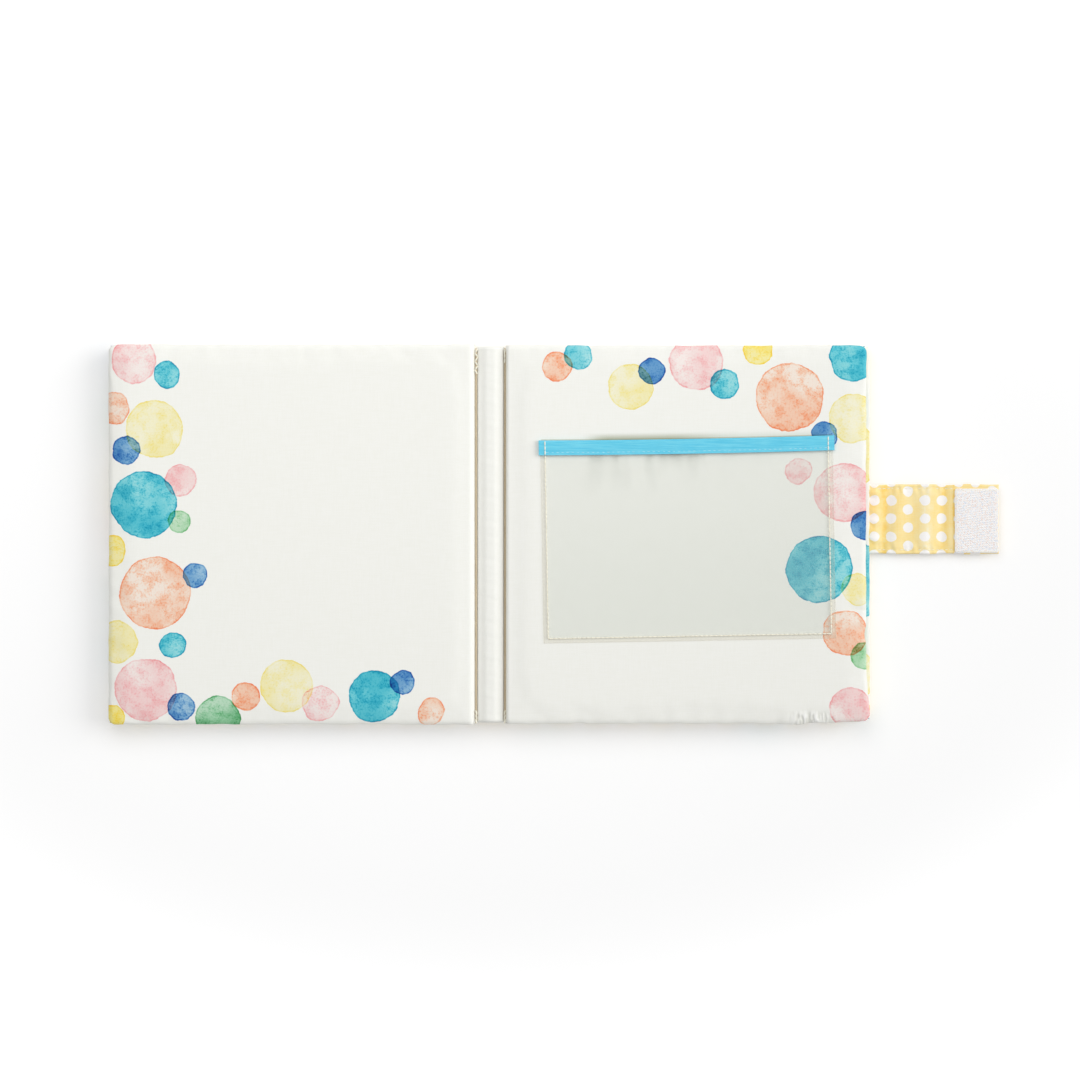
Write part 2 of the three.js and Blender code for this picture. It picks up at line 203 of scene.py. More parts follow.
class Shader:
    """The node tree of one material, or of the world."""

    def __init__(self, name: str, tree: Optional[bpy.types.NodeTree] = None) -> None:
        """Starts an empty tree.

        Args:
            name: The material's name.
            tree: The world's tree, where this isn't a material.
        """
        self.material: Optional[Material] = None
        if tree is None:
            self.material = bpy.data.materials.new(name)
            self.material.use_nodes = True
            tree = self.material.node_tree
        self.tree = tree
        self.tree.nodes.clear()

    def add(self, kind: str, settings: dict = {}, sockets: dict = {}) -> bpy.types.Node:
        """Makes a node, sets it up and fills its sockets.

        Args:
            kind: The node's type.
            settings: Its own settings by name.
            sockets: A value, a plain number or a link for each input that isn't left as it is.

        Returns:
            The node.
        """
        node = self.tree.nodes.new(kind)
        for key, value in settings.items():
            setattr(node, key, value)
        for key, value in sockets.items():
            socket = node.inputs[key]
            if isinstance(value, Value):
                value = value.socket
            if isinstance(value, Socket):
                self.tree.links.new(value, socket)
            elif socket.type == "RGBA" and len(value) == 3:
                socket.default_value = (*value, 1.0)
            else:
                socket.default_value = value
        return node

    def value(self, node: bpy.types.Node, output: Union[int, str] = 0) -> Value:
        """Wraps one output of a node for use in expressions."""
        return Value(self, node.outputs[output])

    def rest_place(self) -> Socket:
        """Gives the place of a point on the unbent piece, in millimetres."""
        read = self.add("ShaderNodeAttribute", {"attribute_name": REST, "attribute_type": "GEOMETRY"})
        return self.scaled(read.outputs["Vector"], 1 / MM)

    def object_place(self) -> Socket:
        """Gives the place of a point on a piece that never bends, in millimetres."""
        return self.scaled(self.add("ShaderNodeTexCoord").outputs["Object"], 1 / MM)

    def vector(self, operation: str, first: object, second: object) -> Socket:
        """Adds one Vector Math node of two vectors and gives its vector."""
        return self.add("ShaderNodeVectorMath", {"operation": operation}, {0: first, 1: second}).outputs[0]

    def scaled(self, place: Socket, scale: float) -> Socket:
        """Multiplies a vector by a plain number."""
        return self.add("ShaderNodeVectorMath", {"operation": "SCALE"}, {0: place, "Scale": scale}).outputs[0]

    def stretched(self, place: Socket, *scales: float) -> Socket:
        """Multiplies each number of a vector by its own scale."""
        return self.vector("MULTIPLY", place, scales)

    def distance(self, place: Socket, centre: tuple[float, float, float]) -> Value:
        """Measures how far a point is from a centre."""
        node = self.add("ShaderNodeVectorMath", {"operation": "DISTANCE"}, {0: place, 1: centre})
        return self.value(node, "Value")

    def split(self, place: Socket) -> tuple[Value, Value, Value]:
        """Takes a vector apart into its three numbers."""
        node = self.add("ShaderNodeSeparateXYZ", {}, {0: place})
        return self.value(node, 0), self.value(node, 1), self.value(node, 2)

    def noise(self, place: Socket, size: float, detail: float = 2.0, rough: float = 0.5) -> Value:
        """Adds smooth noise about 0.5 with blots of a size in millimetres and finer layers."""
        sockets = {"Vector": place, "Scale": 1 / size, "Detail": detail, "Roughness": rough}
        return self.value(self.add("ShaderNodeTexNoise", {}, sockets), 0)

    def warped(self, place: Socket, size: float, reach: float) -> Socket:
        """Shifts a place by noise, so that an edge drawn on it is uneven.

        Args:
            place: The place in millimetres.
            size: How far apart the waves are.
            reach: How far a point may move.

        Returns:
            The shifted place.
        """
        sockets = {"Vector": place, "Scale": 1 / size, "Detail": 3.0, "Roughness": 0.6}
        noise = self.add("ShaderNodeTexNoise", {}, sockets).outputs["Color"]
        centred = self.vector("SUBTRACT", noise, (0.5, 0.5, 0.5))
        return self.vector("ADD", place, self.scaled(centred, 2 * reach))

    def mix(self, first: object, second: object, share: Number, blend: str = "MIX") -> Socket:
        """Mixes two colours: share 0 is the first one, and share 1 the second."""
        settings = {"data_type": "RGBA", "blend_type": blend}
        return self.add("ShaderNodeMix", settings, {0: share, 6: first, 7: second}).outputs[2]

    def multiply(self, tint: object, by: object, share: Number) -> Socket:
        """Multiplies a share of one colour by another, as a shade or a wet ink does."""
        return self.mix(tint, by, share, "MULTIPLY")

    def darken(self, tint: object, amount: Number) -> Socket:
        """Raises a colour to a power, as more ink or more shadow does."""
        return self.add("ShaderNodeGamma", {}, {"Color": tint, "Gamma": amount}).outputs[0]

    def bump(self, height: Value, depth: float, strength: float = 1.0) -> Socket:
        """Turns a height of 0 to 1 into a relief of a depth in millimetres."""
        sockets = {"Strength": strength, "Distance": depth * MM, "Height": height}
        return self.add("ShaderNodeBump", {}, sockets).outputs["Normal"]

    def surface(self, tint: object, roughness: Number, **more: object) -> Material:
        """Ends the tree in a Principled surface.

        Args:
            tint: Its base colour.
            roughness: Its roughness.
            more: What goes into its other sockets, each named with _ for a space.

        Returns:
            The finished material.
        """
        sockets = {name.replace("_", " "): value for name, value in more.items()}
        sockets.update({"Base Color": tint, "Roughness": roughness})
        principled = self.add("ShaderNodeBsdfPrincipled", {}, sockets)
        self.add("ShaderNodeOutputMaterial", {}, {"Surface": principled.outputs[0]})
        return self.material


def weave(shader: Shader, place: Socket, pitch: float) -> Value:
    """Draws the height of a plain weave.

    Args:
        shader: The material's shader.
        place: The place in millimetres.
        pitch: From one thread to the next, in millimetres.

    Returns:
        The height of the threads, from 0 to 1.
    """
    x, y, z = shader.split(shader.warped(place, 6.0, 0.25))
    turn = math.pi / pitch
    across = ((x + z) * turn).sine()
    along = ((y + z) * turn).sine()
    return (abs(across) + abs(along)) * 0.3 + across * along * 0.2 + 0.2


def slubs(shader: Shader, place: Socket) -> Value:
    """Draws the thicker threads that run along and across a woven cloth.

    Args:
        shader: The material's shader.
        place: The place in millimetres.

    Returns:
        A number about 0.5.
    """
    wide = shader.noise(shader.stretched(place, 0.1, 2.2, 2.2), 1.0, 1.0)
    tall = shader.noise(shader.stretched(place, 2.2, 0.1, 2.2), 1.0, 1.0)
    return (wide + tall) * 0.5


def pocket_place(shader: Shader, place: Socket) -> tuple[Value, Value]:
    """Measures along and up a pocket from its middle, in millimetres, whichever page it is on.

    Args:
        shader: The material's shader.
        place: The place in millimetres.

    Returns:
        How far out from the spine a point lies along the pocket, and how far up it.
    """
    x, y, _ = shader.split(place)
    out = abs(x) - POCKET_MIDDLE[0]
    up = y - POCKET_MIDDLE[1]
    lean = x.sign() * math.tan(POCKET_TILT)
    return out + up * lean, up - out * lean


@dataclass(frozen=True)
class Dot:
    """One printed dot: its middle and radius in millimetres, and its ink."""

    x: float
    y: float
    radius: float
    ink: Ink


@dataclass(frozen=True)
class PageCloth:
    """Off-white plain-woven cloth, printed with watercolour dots, with painted shade in tan along the stitch
    lines.

    Lengths are in millimetres, and a run says where a change starts and where it ends.
    """

    name: str
    dots: tuple[Dot, ...] = ()
    mouth_shade: bool = False
    base: Colour = colour("f4f4ee")
    # seam: the tan colour of the painted shade in the gutter valleys.
    seam: Colour = colour("dcc196")
    mouth_shadow: Colour = (0.58, 0.58, 0.48)
    mouth_shadow_line: Colour = (0.66, 0.55, 0.38)
    stitch_line: float = 8.3
    seam_shade_reach: float = 0.9
    seam_shade_ends: Run = (103.0, 106.0)
    pitch: float = 0.5
    gathers_start: Run = (168.0, 177.0)
    gathers_end: Run = (188.0, 199.0)
    gathers_height: Run = (-104.5, -99.5)
    gathers_depth: float = 44.0
    pleat_height: float = -43.5
    pleat_start: Run = (199.0, 208.0)
    pleat_depth: float = 18.0
    relief_light_and_shade: float = 0.02

    def material(self) -> Material:
        """Builds the finish.

        Returns:
            The finished material.
        """
        shader = Shader(self.name)
        place = shader.rest_place()
        threads = slubs(shader, place)
        tint: object = shader.darken(self.base, threads.ease(0.35, 0.65, 1.12, 0.9))
        for layer in self._layers(shader, place):
            tint = shader.multiply(tint, layer, 1.0)
        x, y, _ = shader.split(place)
        # Painted shade: a tan darkening along the stitch lines, where the gutter valleys are, stopping near
        # the page ends.
        valley_shade = abs(abs(x) - self.stitch_line).ease(self.seam_shade_reach * 0.2, self.seam_shade_reach, 0.7, 0.0)
        tint = shader.mix(tint, self.seam, valley_shade * abs(y).fade(*self.seam_shade_ends))
        height = weave(shader, place, self.pitch) * 0.6 + threads * 0.5
        if self.mouth_shade:
            # Painted shadow above the pocket's mouth, and a thin painted line of shade along its edge.
            shade, line = self._shade(shader, place)
            tint = shader.multiply(tint, self.mouth_shadow, shade)
            tint = shader.multiply(tint, self.mouth_shadow_line, line)
            relief = self._gathered(shader, place)
            # Painted shade in the gathers' hollows and in the band above the pleat, painted light on the
            # gathers' ridges.
            tint = shader.darken(tint, 1.0 - relief * self.relief_light_and_shade)
            height = height + relief
        normal = shader.bump(height, 0.06, 0.4)
        return shader.surface(tint, 0.92, Specular_IOR_Level=0.25, Sheen_Weight=0.08, Normal=normal)

    @staticmethod
    def _shade(shader: Shader, place: Socket) -> tuple[Value, Value]:
        """Paints the shade that the pocket's raised mouth throws on the page above it.

        Args:
            shader: The material's shader.
            place: The place in millimetres.

        Returns:
            The soft painted shade, and the thin painted line of shade where mouth and page meet.
        """
        along, above = pocket_place(shader, place)
        over = above - HALF_POCKET[1] + MOUTH_BOW - along * along * (MOUTH_BOW / HALF_POCKET[0] ** 2)
        strength = along.ease(-62.0, -44.0) * along.ease(-12.0, 34.0, 1.0, 0.3) * along.fade(72.0, 82.0)
        behind = over.ease(-6.0, -2.0)
        line = over.fade(0.1, 1.0) * behind * abs(along).ease(82.0, 83.5, 0.8, 0.0)
        return over.fade(0.4, 4.6) * behind * strength, line

    def _gathered(self, shader: Shader, place: Socket) -> Value:
        """Draws the relief of the gathers along the page's foot, and of a short pleat at its fore edge.

        Args:
            shader: The material's shader.
            place: The place in millimetres.

        Returns:
            The relief, which is 0 on the rest of the page. It bumps the cloth, and it is painted into the
            colour too: painted shade in the hollows and in the band above the pleat, painted light on the
            ridges.
        """
        x, y, _ = shader.split(place)
        ripples = shader.noise(shader.stretched(place, 1.0, 0.35, 0.0), 3.0, 1.0).ease(0.38, 0.62)
        at_foot = x.ease(*self.gathers_start) * x.fade(*self.gathers_end) * y.fade(*self.gathers_height)
        over = y - self.pleat_height
        pleat = over.ease(-1.0, 0.8) * over.fade(0.8, 6.0) * x.ease(*self.pleat_start)
        return (ripples - 0.5) * at_foot * self.gathers_depth - pleat * self.pleat_depth

    def _layers(self, shader: Shader, place: Socket) -> Iterable[Socket]:
        """Draws one layer of wet ink for each ink that the print uses.

        Args:
            shader: The material's shader.
            place: The place in millimetres.

        Yields:
            The layer's colour, white where it has no ink.
        """
        if not self.dots:
            return
        flat = shader.stretched(place, 1.0, 1.0, 0.0)
        edge = shader.stretched(shader.warped(shader.warped(flat, 17.0, 2.3), 2.4, 0.5), 1.0, 1.0, 0.0)
        wash = shader.noise(flat, 26.0, 1.0, 0.4)
        blotch = shader.noise(flat, 7.0, 4.0, 0.6)
        grain = shader.noise(flat, 1.1, 2.0, 0.7)
        specks = grain.ease(0.46, 0.68, -0.1, 0.62) * blotch.ease(0.4, 0.6, 0.3, 1.1)
        body = wash.ease(0.36, 0.64, 0.6, 1.12) + blotch.ease(0.42, 0.66, -0.12, 0.42) + specks
        for ink in sorted({dot.ink for dot in self.dots}, key=lambda ink: ink.name):
            out: Optional[Value] = None
            for dot in (dot for dot in self.dots if dot.ink is ink):
                past = shader.distance(edge, (dot.x, dot.y, 0.0)) - dot.radius
                out = past if out is None else out.least(past)
            rim = out.ease(-1.0, -0.4) * blotch.ease(0.38, 0.56, 0.35, 1.0)
            contrast = INK_CONTRAST.get(ink, 1.0)
            density = ((body + rim * 0.9 - 1.0) * contrast + 1.0).most(0.3)
            yield shader.mix((1.0, 1.0, 1.0), shader.darken(colour(ink.value), density), out.fade(-0.16, 0.2))


@dataclass(frozen=True)
class DottedCloth:
    """Pale yellow plain-woven cloth with white polka dots.

    Lengths are in millimetres, and a run says where a change starts and where it ends.
    """

    name: str
    wrapped: bool = True
    cycle: int = 2
    set_on: int = 1
    unevenness: float = 0.35
    fold_shades: tuple[tuple[float, float, float], ...] = ()
    base: Colour = colour("ffe8a6")
    spot: Colour = colour("fdfaf6")
    column: float = 9.65
    row: float = 10.4
    radius: float = 2.95
    spot_edge: float = 0.22
    first_column: float = 219.7
    first_row: float = 9.2
    fold_line: float = 8.25
    fold_reach: float = 7.75
    fold_stretch: float = 0.67
    inner_rim: Run = (12.0, 14.0)
    fore_rim: Run = (205.0, 208.0)
    end_rim: Run = (101.0, 104.0)

    def material(self) -> Material:
        """Builds the finish.

        Returns:
            The finished material.
        """
        shader = Shader(self.name)
        place = shader.rest_place()
        x, y, z = shader.split(shader.warped(place, 7.0, self.unevenness))
        if self.wrapped:
            x, y = self._round_rims(x, y, z)
        columns = (x - self.first_column) / self.column + 0.5
        number = (columns - columns % 1.0) % float(self.cycle)
        odd = abs(number - self.set_on).ease(0.2, 0.8, 0.5, 0.0)
        rows = (y - self.first_row) / self.row + odd + 0.5
        across = (columns % 1.0 - 0.5) * self.column
        along = (rows % 1.0 - 0.5) * self.row
        reach = across.maths("SQRT", across * across + along * along)
        spotted = reach.fade(self.radius - self.spot_edge, self.radius + self.spot_edge)
        threads = slubs(shader, place)
        ground = shader.darken(self.base, shader.noise(place, 9.0, 3.0).ease(0.35, 0.65, 0.92, 1.1))
        tint = shader.mix(ground, self.spot, spotted)
        # Painted shade in the strap's folds and near its ends, and a painted highlight on its bulge.
        tint = shader.darken(tint, self._fold_shading(shader, place) + threads.ease(0.35, 0.65, 0.1, -0.08))
        normal = shader.bump(weave(shader, place, 0.45) * 0.7 + threads * 0.6, 0.08, 0.6)
        return shader.surface(tint, 0.85, Specular_IOR_Level=0.3, Sheen_Weight=0.1, Normal=normal)

    def _round_rims(self, x: Value, y: Value, z: Value) -> tuple[Value, Value]:
        """Unrolls the cloth of the covers and the spine, so that its dots go on round the rims.

        Each fold line stretches when the album closes, so its dots are a little narrow when it lies open.

        Args:
            x: Across the open album, in millimetres.
            y: Up the pages.
            z: Up from the table.

        Returns:
            The unrolled x and y.
        """
        out = abs(x)
        past_spine = out.ease(self.fold_line - 0.05, self.fold_line)
        side = out.ease(*self.fore_rim) + 1.0 - past_spine - past_spine * out.fade(*self.inner_rim)
        stretch = (out - self.fold_line).most(0.0).least(self.fold_reach) * self.fold_stretch
        end = abs(y).ease(*self.end_rim)
        return (out + stretch + side * z) * x.sign(), y + end * z * y.sign()

    def _fold_shading(self, shader: Shader, place: Socket) -> Number:
        """Gives the painted shade across the strap in its folds and near its ends, and the painted highlight
        on its bulge, each with a middle, a reach and a depth.

        Args:
            shader: The material's shader.
            place: The place in millimetres.

        Returns:
            1 where nothing is painted, above it in the painted shade, and below it in the painted highlight.
        """
        total: Number = 1.0
        if self.fold_shades:
            x, _, _ = shader.split(shader.warped(place, 9.0, 1.2))
            patchiness = shader.noise(place, 3.0, 3.0).ease(0.35, 0.65, 0.5, 1.3)
            for middle, reach, depth in self.fold_shades:
                total = total + abs(x - middle).ease(0.0, reach, depth, 0.0) * patchiness
        return total


@dataclass(frozen=True)
class Foam:
    """Soft open foam with pores of a size in millimetres."""

    name: str = "open_foam"
    base: Colour = colour("efece2")
    pore: float = 1.1

    def material(self) -> Material:
        """Builds the finish.

        Returns:
            The finished material.
        """
        shader = Shader(self.name)
        place = shader.rest_place()
        cells = shader.add("ShaderNodeTexVoronoi", {}, {"Vector": place, "Scale": 1 / self.pore})
        pores = shader.value(cells, "Distance").ease(0.15, 0.55)
        tint = shader.mix(shader.darken(self.base, 1.6), self.base, pores)
        normal = shader.bump(pores * 0.7 + shader.noise(place, 0.6, 3.0) * 0.3, 0.3, 0.8)
        return shader.surface(tint, 0.95, Normal=normal)


@dataclass(frozen=True)
class Vinyl:
    """Milky clear vinyl film, with painted streaks of shade below the mouth, and yellowish along its sewn
    margin.

    Lengths are in millimetres, and those called margin and edge run in from the film's edge.
    """

    name: str = "milky_vinyl"
    base: Colour = (0.6, 0.66, 0.58)
    sewn: Colour = (0.7, 0.66, 0.52)
    streak_shadow: Colour = (0.3, 0.34, 0.27)
    cover: float = 0.068
    foot_cover: float = 0.03
    margin: Run = (2.6, 3.3)
    edge: Run = (0.3, 0.9)

    def material(self) -> Material:
        """Builds the finish.

        Returns:
            The finished material.
        """
        shader = Shader(self.name)
        place = shader.object_place()
        along, above = pocket_place(shader, place)
        inside = (HALF_POCKET[0] - abs(along)).least(above + HALF_POCKET[1])
        margin = inside.fade(*self.margin)
        # Painted shade: soft streaks of shade on the film below the pocket's mouth, strongest just under it.
        leaning = shader.stretched(shader.warped(place, 22.0, 5.0), 1.0, 0.28, 0.0)
        shade_streaks = shader.noise(leaning, 11.0, 1.0).ease(0.4, 0.64)
        from_mouth = above - HALF_POCKET[1]
        below_mouth = from_mouth.ease(-36.0, -10.0, 0.0, 0.45) + from_mouth.ease(-15.0, -8.5, 0.0, 0.9)
        wave_shade = shade_streaks * below_mouth * along.ease(-66.0, -54.0) * along.ease(-8.0, 28.0, 1.0, 0.12)
        tint = shader.mix(shader.mix(self.base, self.streak_shadow, wave_shade * 0.8), self.sewn, margin)
        milky = above.ease(-50.0, 50.0, self.cover + self.foot_cover, self.cover)
        alpha = milky + wave_shade * 0.085 + margin * 0.004 + inside.fade(*self.edge) * 0.045
        sheen = shader.noise(place, 24.0, 2.0).ease(0.3, 0.7, 0.26, 0.34)
        return shader.surface(tint, sheen, Specular_IOR_Level=0.45, Alpha=alpha)


@dataclass(frozen=True)
class Ribbon:
    """Sky blue woven ribbon with fine threads along its length and ribs across it."""

    name: str = "sky_ribbon"
    base: Colour = colour("60cce8")
    rib: float = 0.62

    def material(self) -> Material:
        """Builds the finish.

        Returns:
            The finished material.
        """
        shader = Shader(self.name)
        place = shader.object_place()
        x, _, _ = shader.split(place)
        threads = shader.noise(shader.stretched(place, 0.04, 1.0, 1.0), 0.55, 2.0)
        ribs = ((x * (2 * math.pi / self.rib)).sine() + 1.0) * 0.5
        tint = shader.darken(self.base, threads.ease(0.3, 0.7, 1.22, 0.86))
        tint = shader.mix(tint, shader.darken(self.base, 0.72), ribs * 0.25)
        normal = shader.bump(ribs * 0.4 + threads * 0.6, 0.09, 0.7)
        return shader.surface(tint, threads.ease(0.3, 0.7, 0.62, 0.48), Sheen_Weight=0.15, Normal=normal)


@dataclass(frozen=True)
class Tape:
    """White woven base of hook or loop tape."""

    name: str
    base: Colour = colour("f2efec")
    fuzz: float = 0.25
    sparkle: float = 0.0
    weave_contrast: float = 1.7
    warm: Colour = colour("ecd3c8")
    cool: Colour = colour("d8e0f0")
    pitch: float = 0.62

    def material(self) -> Material:
        """Builds the finish.

        Returns:
            The finished material.
        """
        shader = Shader(self.name)
        place = shader.object_place()
        threads = weave(shader, place, self.pitch)
        fluff = shader.noise(place, 0.45, 4.0, 0.7)
        specks = shader.noise(shader.vector("ADD", place, (7.0, 3.0, 0.0)), 0.95, 2.0, 0.6)
        speckled = shader.mix(self.warm, self.cool, specks.ease(0.42, 0.58))
        ground = shader.mix(self.base, speckled, abs(specks - 0.5).ease(0.02, 0.14) * self.sparkle)
        # Darker where the weave is low, lighter on its threads.
        tint = shader.darken(ground, threads.ease(0.15, 0.75, self.weave_contrast, 0.8))
        tint = shader.mix(tint, shader.darken(self.base, 2.6), fluff.ease(0.55, 0.8) * self.fuzz)
        normal = shader.bump(threads * 0.6 + fluff * 0.6, 0.12, 0.8)
        return shader.surface(tint, 0.78, Sheen_Weight=0.1, Normal=normal)


@dataclass(frozen=True)
class Thread:
    """Twisted sewing thread, cream unless it is told otherwise."""

    name: str
    base: Colour = colour("fdf9e8")
    twist: float = 0.5

    def material(self) -> Material:
        """Builds the finish.

        Returns:
            The finished material.
        """
        shader = Shader(self.name)
        x, y, z = shader.split(shader.object_place())
        twist = (((x + y + z) * (2 * math.pi / self.twist)).sine() + 1.0) * 0.5
        tint = shader.darken(self.base, twist.ease(0.0, 0.6, 1.5, 0.9))
        return shader.surface(tint, 0.6, Sheen_Weight=0.2, Normal=shader.bump(twist, 0.08))


class Bench:
    """The modelling steps that the pieces share, each worked with Blender's own tools."""

    @staticmethod
    def select(*pieces: Piece) -> None:
        """Selects some pieces alone.

        Args:
            pieces: The pieces, the first of them active.
        """
        bpy.ops.object.select_all(action="DESELECT")
        for piece in pieces:
            piece.select_set(True)
        if pieces:
            bpy.context.view_layer.objects.active = pieces[0]

    @staticmethod
    def called(piece: Piece, name: str) -> Piece:
        """Names a piece and its mesh, and gives it back."""
        piece.name = piece.data.name = name
        return piece

    @staticmethod
    def points(piece: Piece) -> np.ndarray:
        """Reads a piece's points.

        Args:
            piece: The piece.

        Returns:
            The points, one row each.
        """
        flat = np.empty(len(piece.data.vertices) * 3, np.float32)
        piece.data.vertices.foreach_get("co", flat)
        return flat.reshape(-1, 3).astype(float)

    @staticmethod
    def move_points(piece: Piece, points: np.ndarray) -> None:
        """Moves a piece's points to new places."""
        piece.data.vertices.foreach_set("co", points.astype(np.float32).ravel())
        piece.data.update()

    @staticmethod
    def grid(name: str, across: int, along: int, shape: Shape) -> Piece:
        """Adds a grid and moves its points to a soft shape.

        Args:
            name: The piece's name.
            across: Its cells along u.
            along: Its cells along v.
            shape: Gives the points for arrays of u and v from 0 to 1.

        Returns:
            The open piece.
        """
        Bench.select()
        bpy.ops.mesh.primitive_grid_add(x_subdivisions=across, y_subdivisions=along, size=2)
        piece = Bench.called(bpy.context.object, name)
        start = Bench.points(piece)
        Bench.move_points(piece, shape((start[:, 0] + 1) / 2, (start[:, 1] + 1) / 2))
        return piece

    @staticmethod
    def join(name: str, pieces: Sequence[Piece]) -> Piece:
        """Joins pieces into one.

        Args:
            name: The joined piece's name.
            pieces: The pieces, which are used up.

        Returns:
            The joined piece.
        """
        Bench.select(*pieces)
        bpy.ops.object.join()
        return Bench.called(bpy.context.object, name)

    @staticmethod
    def edit(piece: Piece, *steps: Callable[[], object]) -> None:
        """Works on all of a piece in edit mode.

        Args:
            piece: The piece.
            steps: What is done to it.
        """
        Bench.select(piece)
        bpy.ops.object.mode_set(mode="EDIT")
        bpy.ops.mesh.select_all(action="SELECT")
        for step in steps:
            step()
        bpy.ops.object.mode_set(mode="OBJECT")

    @staticmethod
    def close(piece: Piece, gap: float) -> None:
        """Merges the points that meet, and turns the faces outwards."""
        merge = lambda: bpy.ops.mesh.remove_doubles(threshold=gap)
        Bench.edit(piece, merge, lambda: bpy.ops.mesh.normals_make_consistent(inside=False))

    @staticmethod
    def apply(piece: Piece, kind: str, **settings: object) -> None:
        """Adds a modifier and applies it.

        Args:
            piece: The piece.
            kind: The modifier's type.
            settings: Its settings by name.
        """
        modifier = piece.modifiers.new(kind.lower(), kind)
        for key, value in settings.items():
            setattr(modifier, key, value)
        Bench.select(piece)
        bpy.ops.object.modifier_apply(modifier=modifier.name)

    @staticmethod
    def repeat(piece: Piece, count: int, step: tuple[float, float, float]) -> None:
        """Repeats a piece in a row, each copy a step further."""
        steps = {"use_relative_offset": False, "use_constant_offset": True, "constant_offset_displace": step}
        Bench.apply(piece, "ARRAY", count=count, **steps)

    @staticmethod
    def thicken(piece: Piece, thickness: float, offset: float = 0.0) -> None:
        """Gives a sheet its thickness: offset -1 is all inwards, 0 is half to each side."""
        Bench.apply(piece, "SOLIDIFY", thickness=thickness, offset=offset, use_rim=True)

    @staticmethod
    def smooth(piece: Piece, degrees: float = 50.0) -> None:
        """Shades a piece smoothly, apart from edges sharper than an angle."""
        Bench.select(piece)
        bpy.ops.object.shade_smooth_by_angle(angle=math.radians(degrees))

    @staticmethod
    def copy(piece: Piece, name: str) -> Piece:
        """Copies a piece with its own mesh.

        Args:
            piece: The piece.
            name: The copy's name.

        Returns:
            The copy.
        """
        twin = piece.copy()
        twin.data = piece.data.copy()
        bpy.context.scene.collection.objects.link(twin)
        return Bench.called(twin, name)

    @staticmethod
    def keep_faces(piece: Piece, mark: str, wanted: int) -> None:
        """Deletes the faces whose mark isn't the wanted one, and then the mark.

        Args:
            piece: The piece.
            mark: The name of the mark.
            wanted: The mark of the faces that stay.
        """
        values = np.empty(len(piece.data.polygons), np.int32)
        piece.data.attributes[mark].data.foreach_get("value", values)
        Bench.select(piece)
        bpy.context.tool_settings.mesh_select_mode = (False, False, True)
        bpy.ops.object.mode_set(mode="EDIT")
        bpy.ops.mesh.select_all(action="DESELECT")
        bpy.ops.object.mode_set(mode="OBJECT")
        piece.data.polygons.foreach_set("select", values != wanted)
        bpy.ops.object.mode_set(mode="EDIT")
        bpy.ops.mesh.delete(type="FACE")
        bpy.ops.object.mode_set(mode="OBJECT")
        piece.data.attributes.remove(piece.data.attributes[mark])

    @staticmethod
    def half(piece: Piece, name: str, side: int) -> Piece:
        """Copies the part of a closed piece that lies on one side of the spine's middle.

        Args:
            piece: The piece.
            name: The part's name.
            side: 1 for the right, -1 for the left.

        Returns:
            The part, closed again.
        """
        part = Bench.copy(piece, name)
        cut = {"plane_co": (0, 0, 0), "plane_no": (side, 0, 0), "threshold": 0.01 * MM}
        Bench.edit(part, lambda: bpy.ops.mesh.bisect(use_fill=True, clear_inner=True, **cut))
        Bench.smooth(part)
        return part

    @staticmethod
    def finish(piece: Piece, material: Material, slot: Optional[Slot] = None, *nodes: str) -> Piece:
        """Dresses a piece, stores its rest place, and hides the CAD nodes that it stands for.

        Args:
            piece: The finished mesh.
            material: Its finish.
            slot: Not used.
            nodes: The CAD nodes that it stands for.

        Returns:
            The piece.
        """
        piece.data.materials.clear()
        piece.data.materials.append(material)
        marks = piece.data.attributes.get(REST) or piece.data.attributes.new(REST, "FLOAT_VECTOR", "POINT")
        marks.data.foreach_set("vector", Bench.points(piece).astype(np.float32).ravel())
        if nodes:
            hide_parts(*nodes)
        log.info("%s: %d faces", piece.name, len(piece.data.polygons))
        return piece


def waves(along: np.ndarray, lengths: Sequence[float], seed: int) -> np.ndarray:
    """Sums sine waves with seeded phases.

    Args:
        along: Where the waves are read, in metres.
        lengths: Their lengths in metres.
        seed: The seed of their phases.

    Returns:
        Heights of about -1 to 1.
    """
    dice = random.Random(seed)
    total = np.zeros_like(along)
    for length in lengths:
        total += np.sin(2 * math.pi * along / length + dice.uniform(0, 2 * math.pi))
    return total / math.sqrt(len(lengths))


def hump(away: np.ndarray, reach: float) -> np.ndarray:
    """Gives a soft hump, 1 in its middle, for distances from it."""
    return np.exp(-((away / reach) ** 2))


@dataclass
class Gather:
    """A stretch of a panel's edge where the seam has gathered the cloth."""

    x: float
    y: float
    reach: float
    depth: float


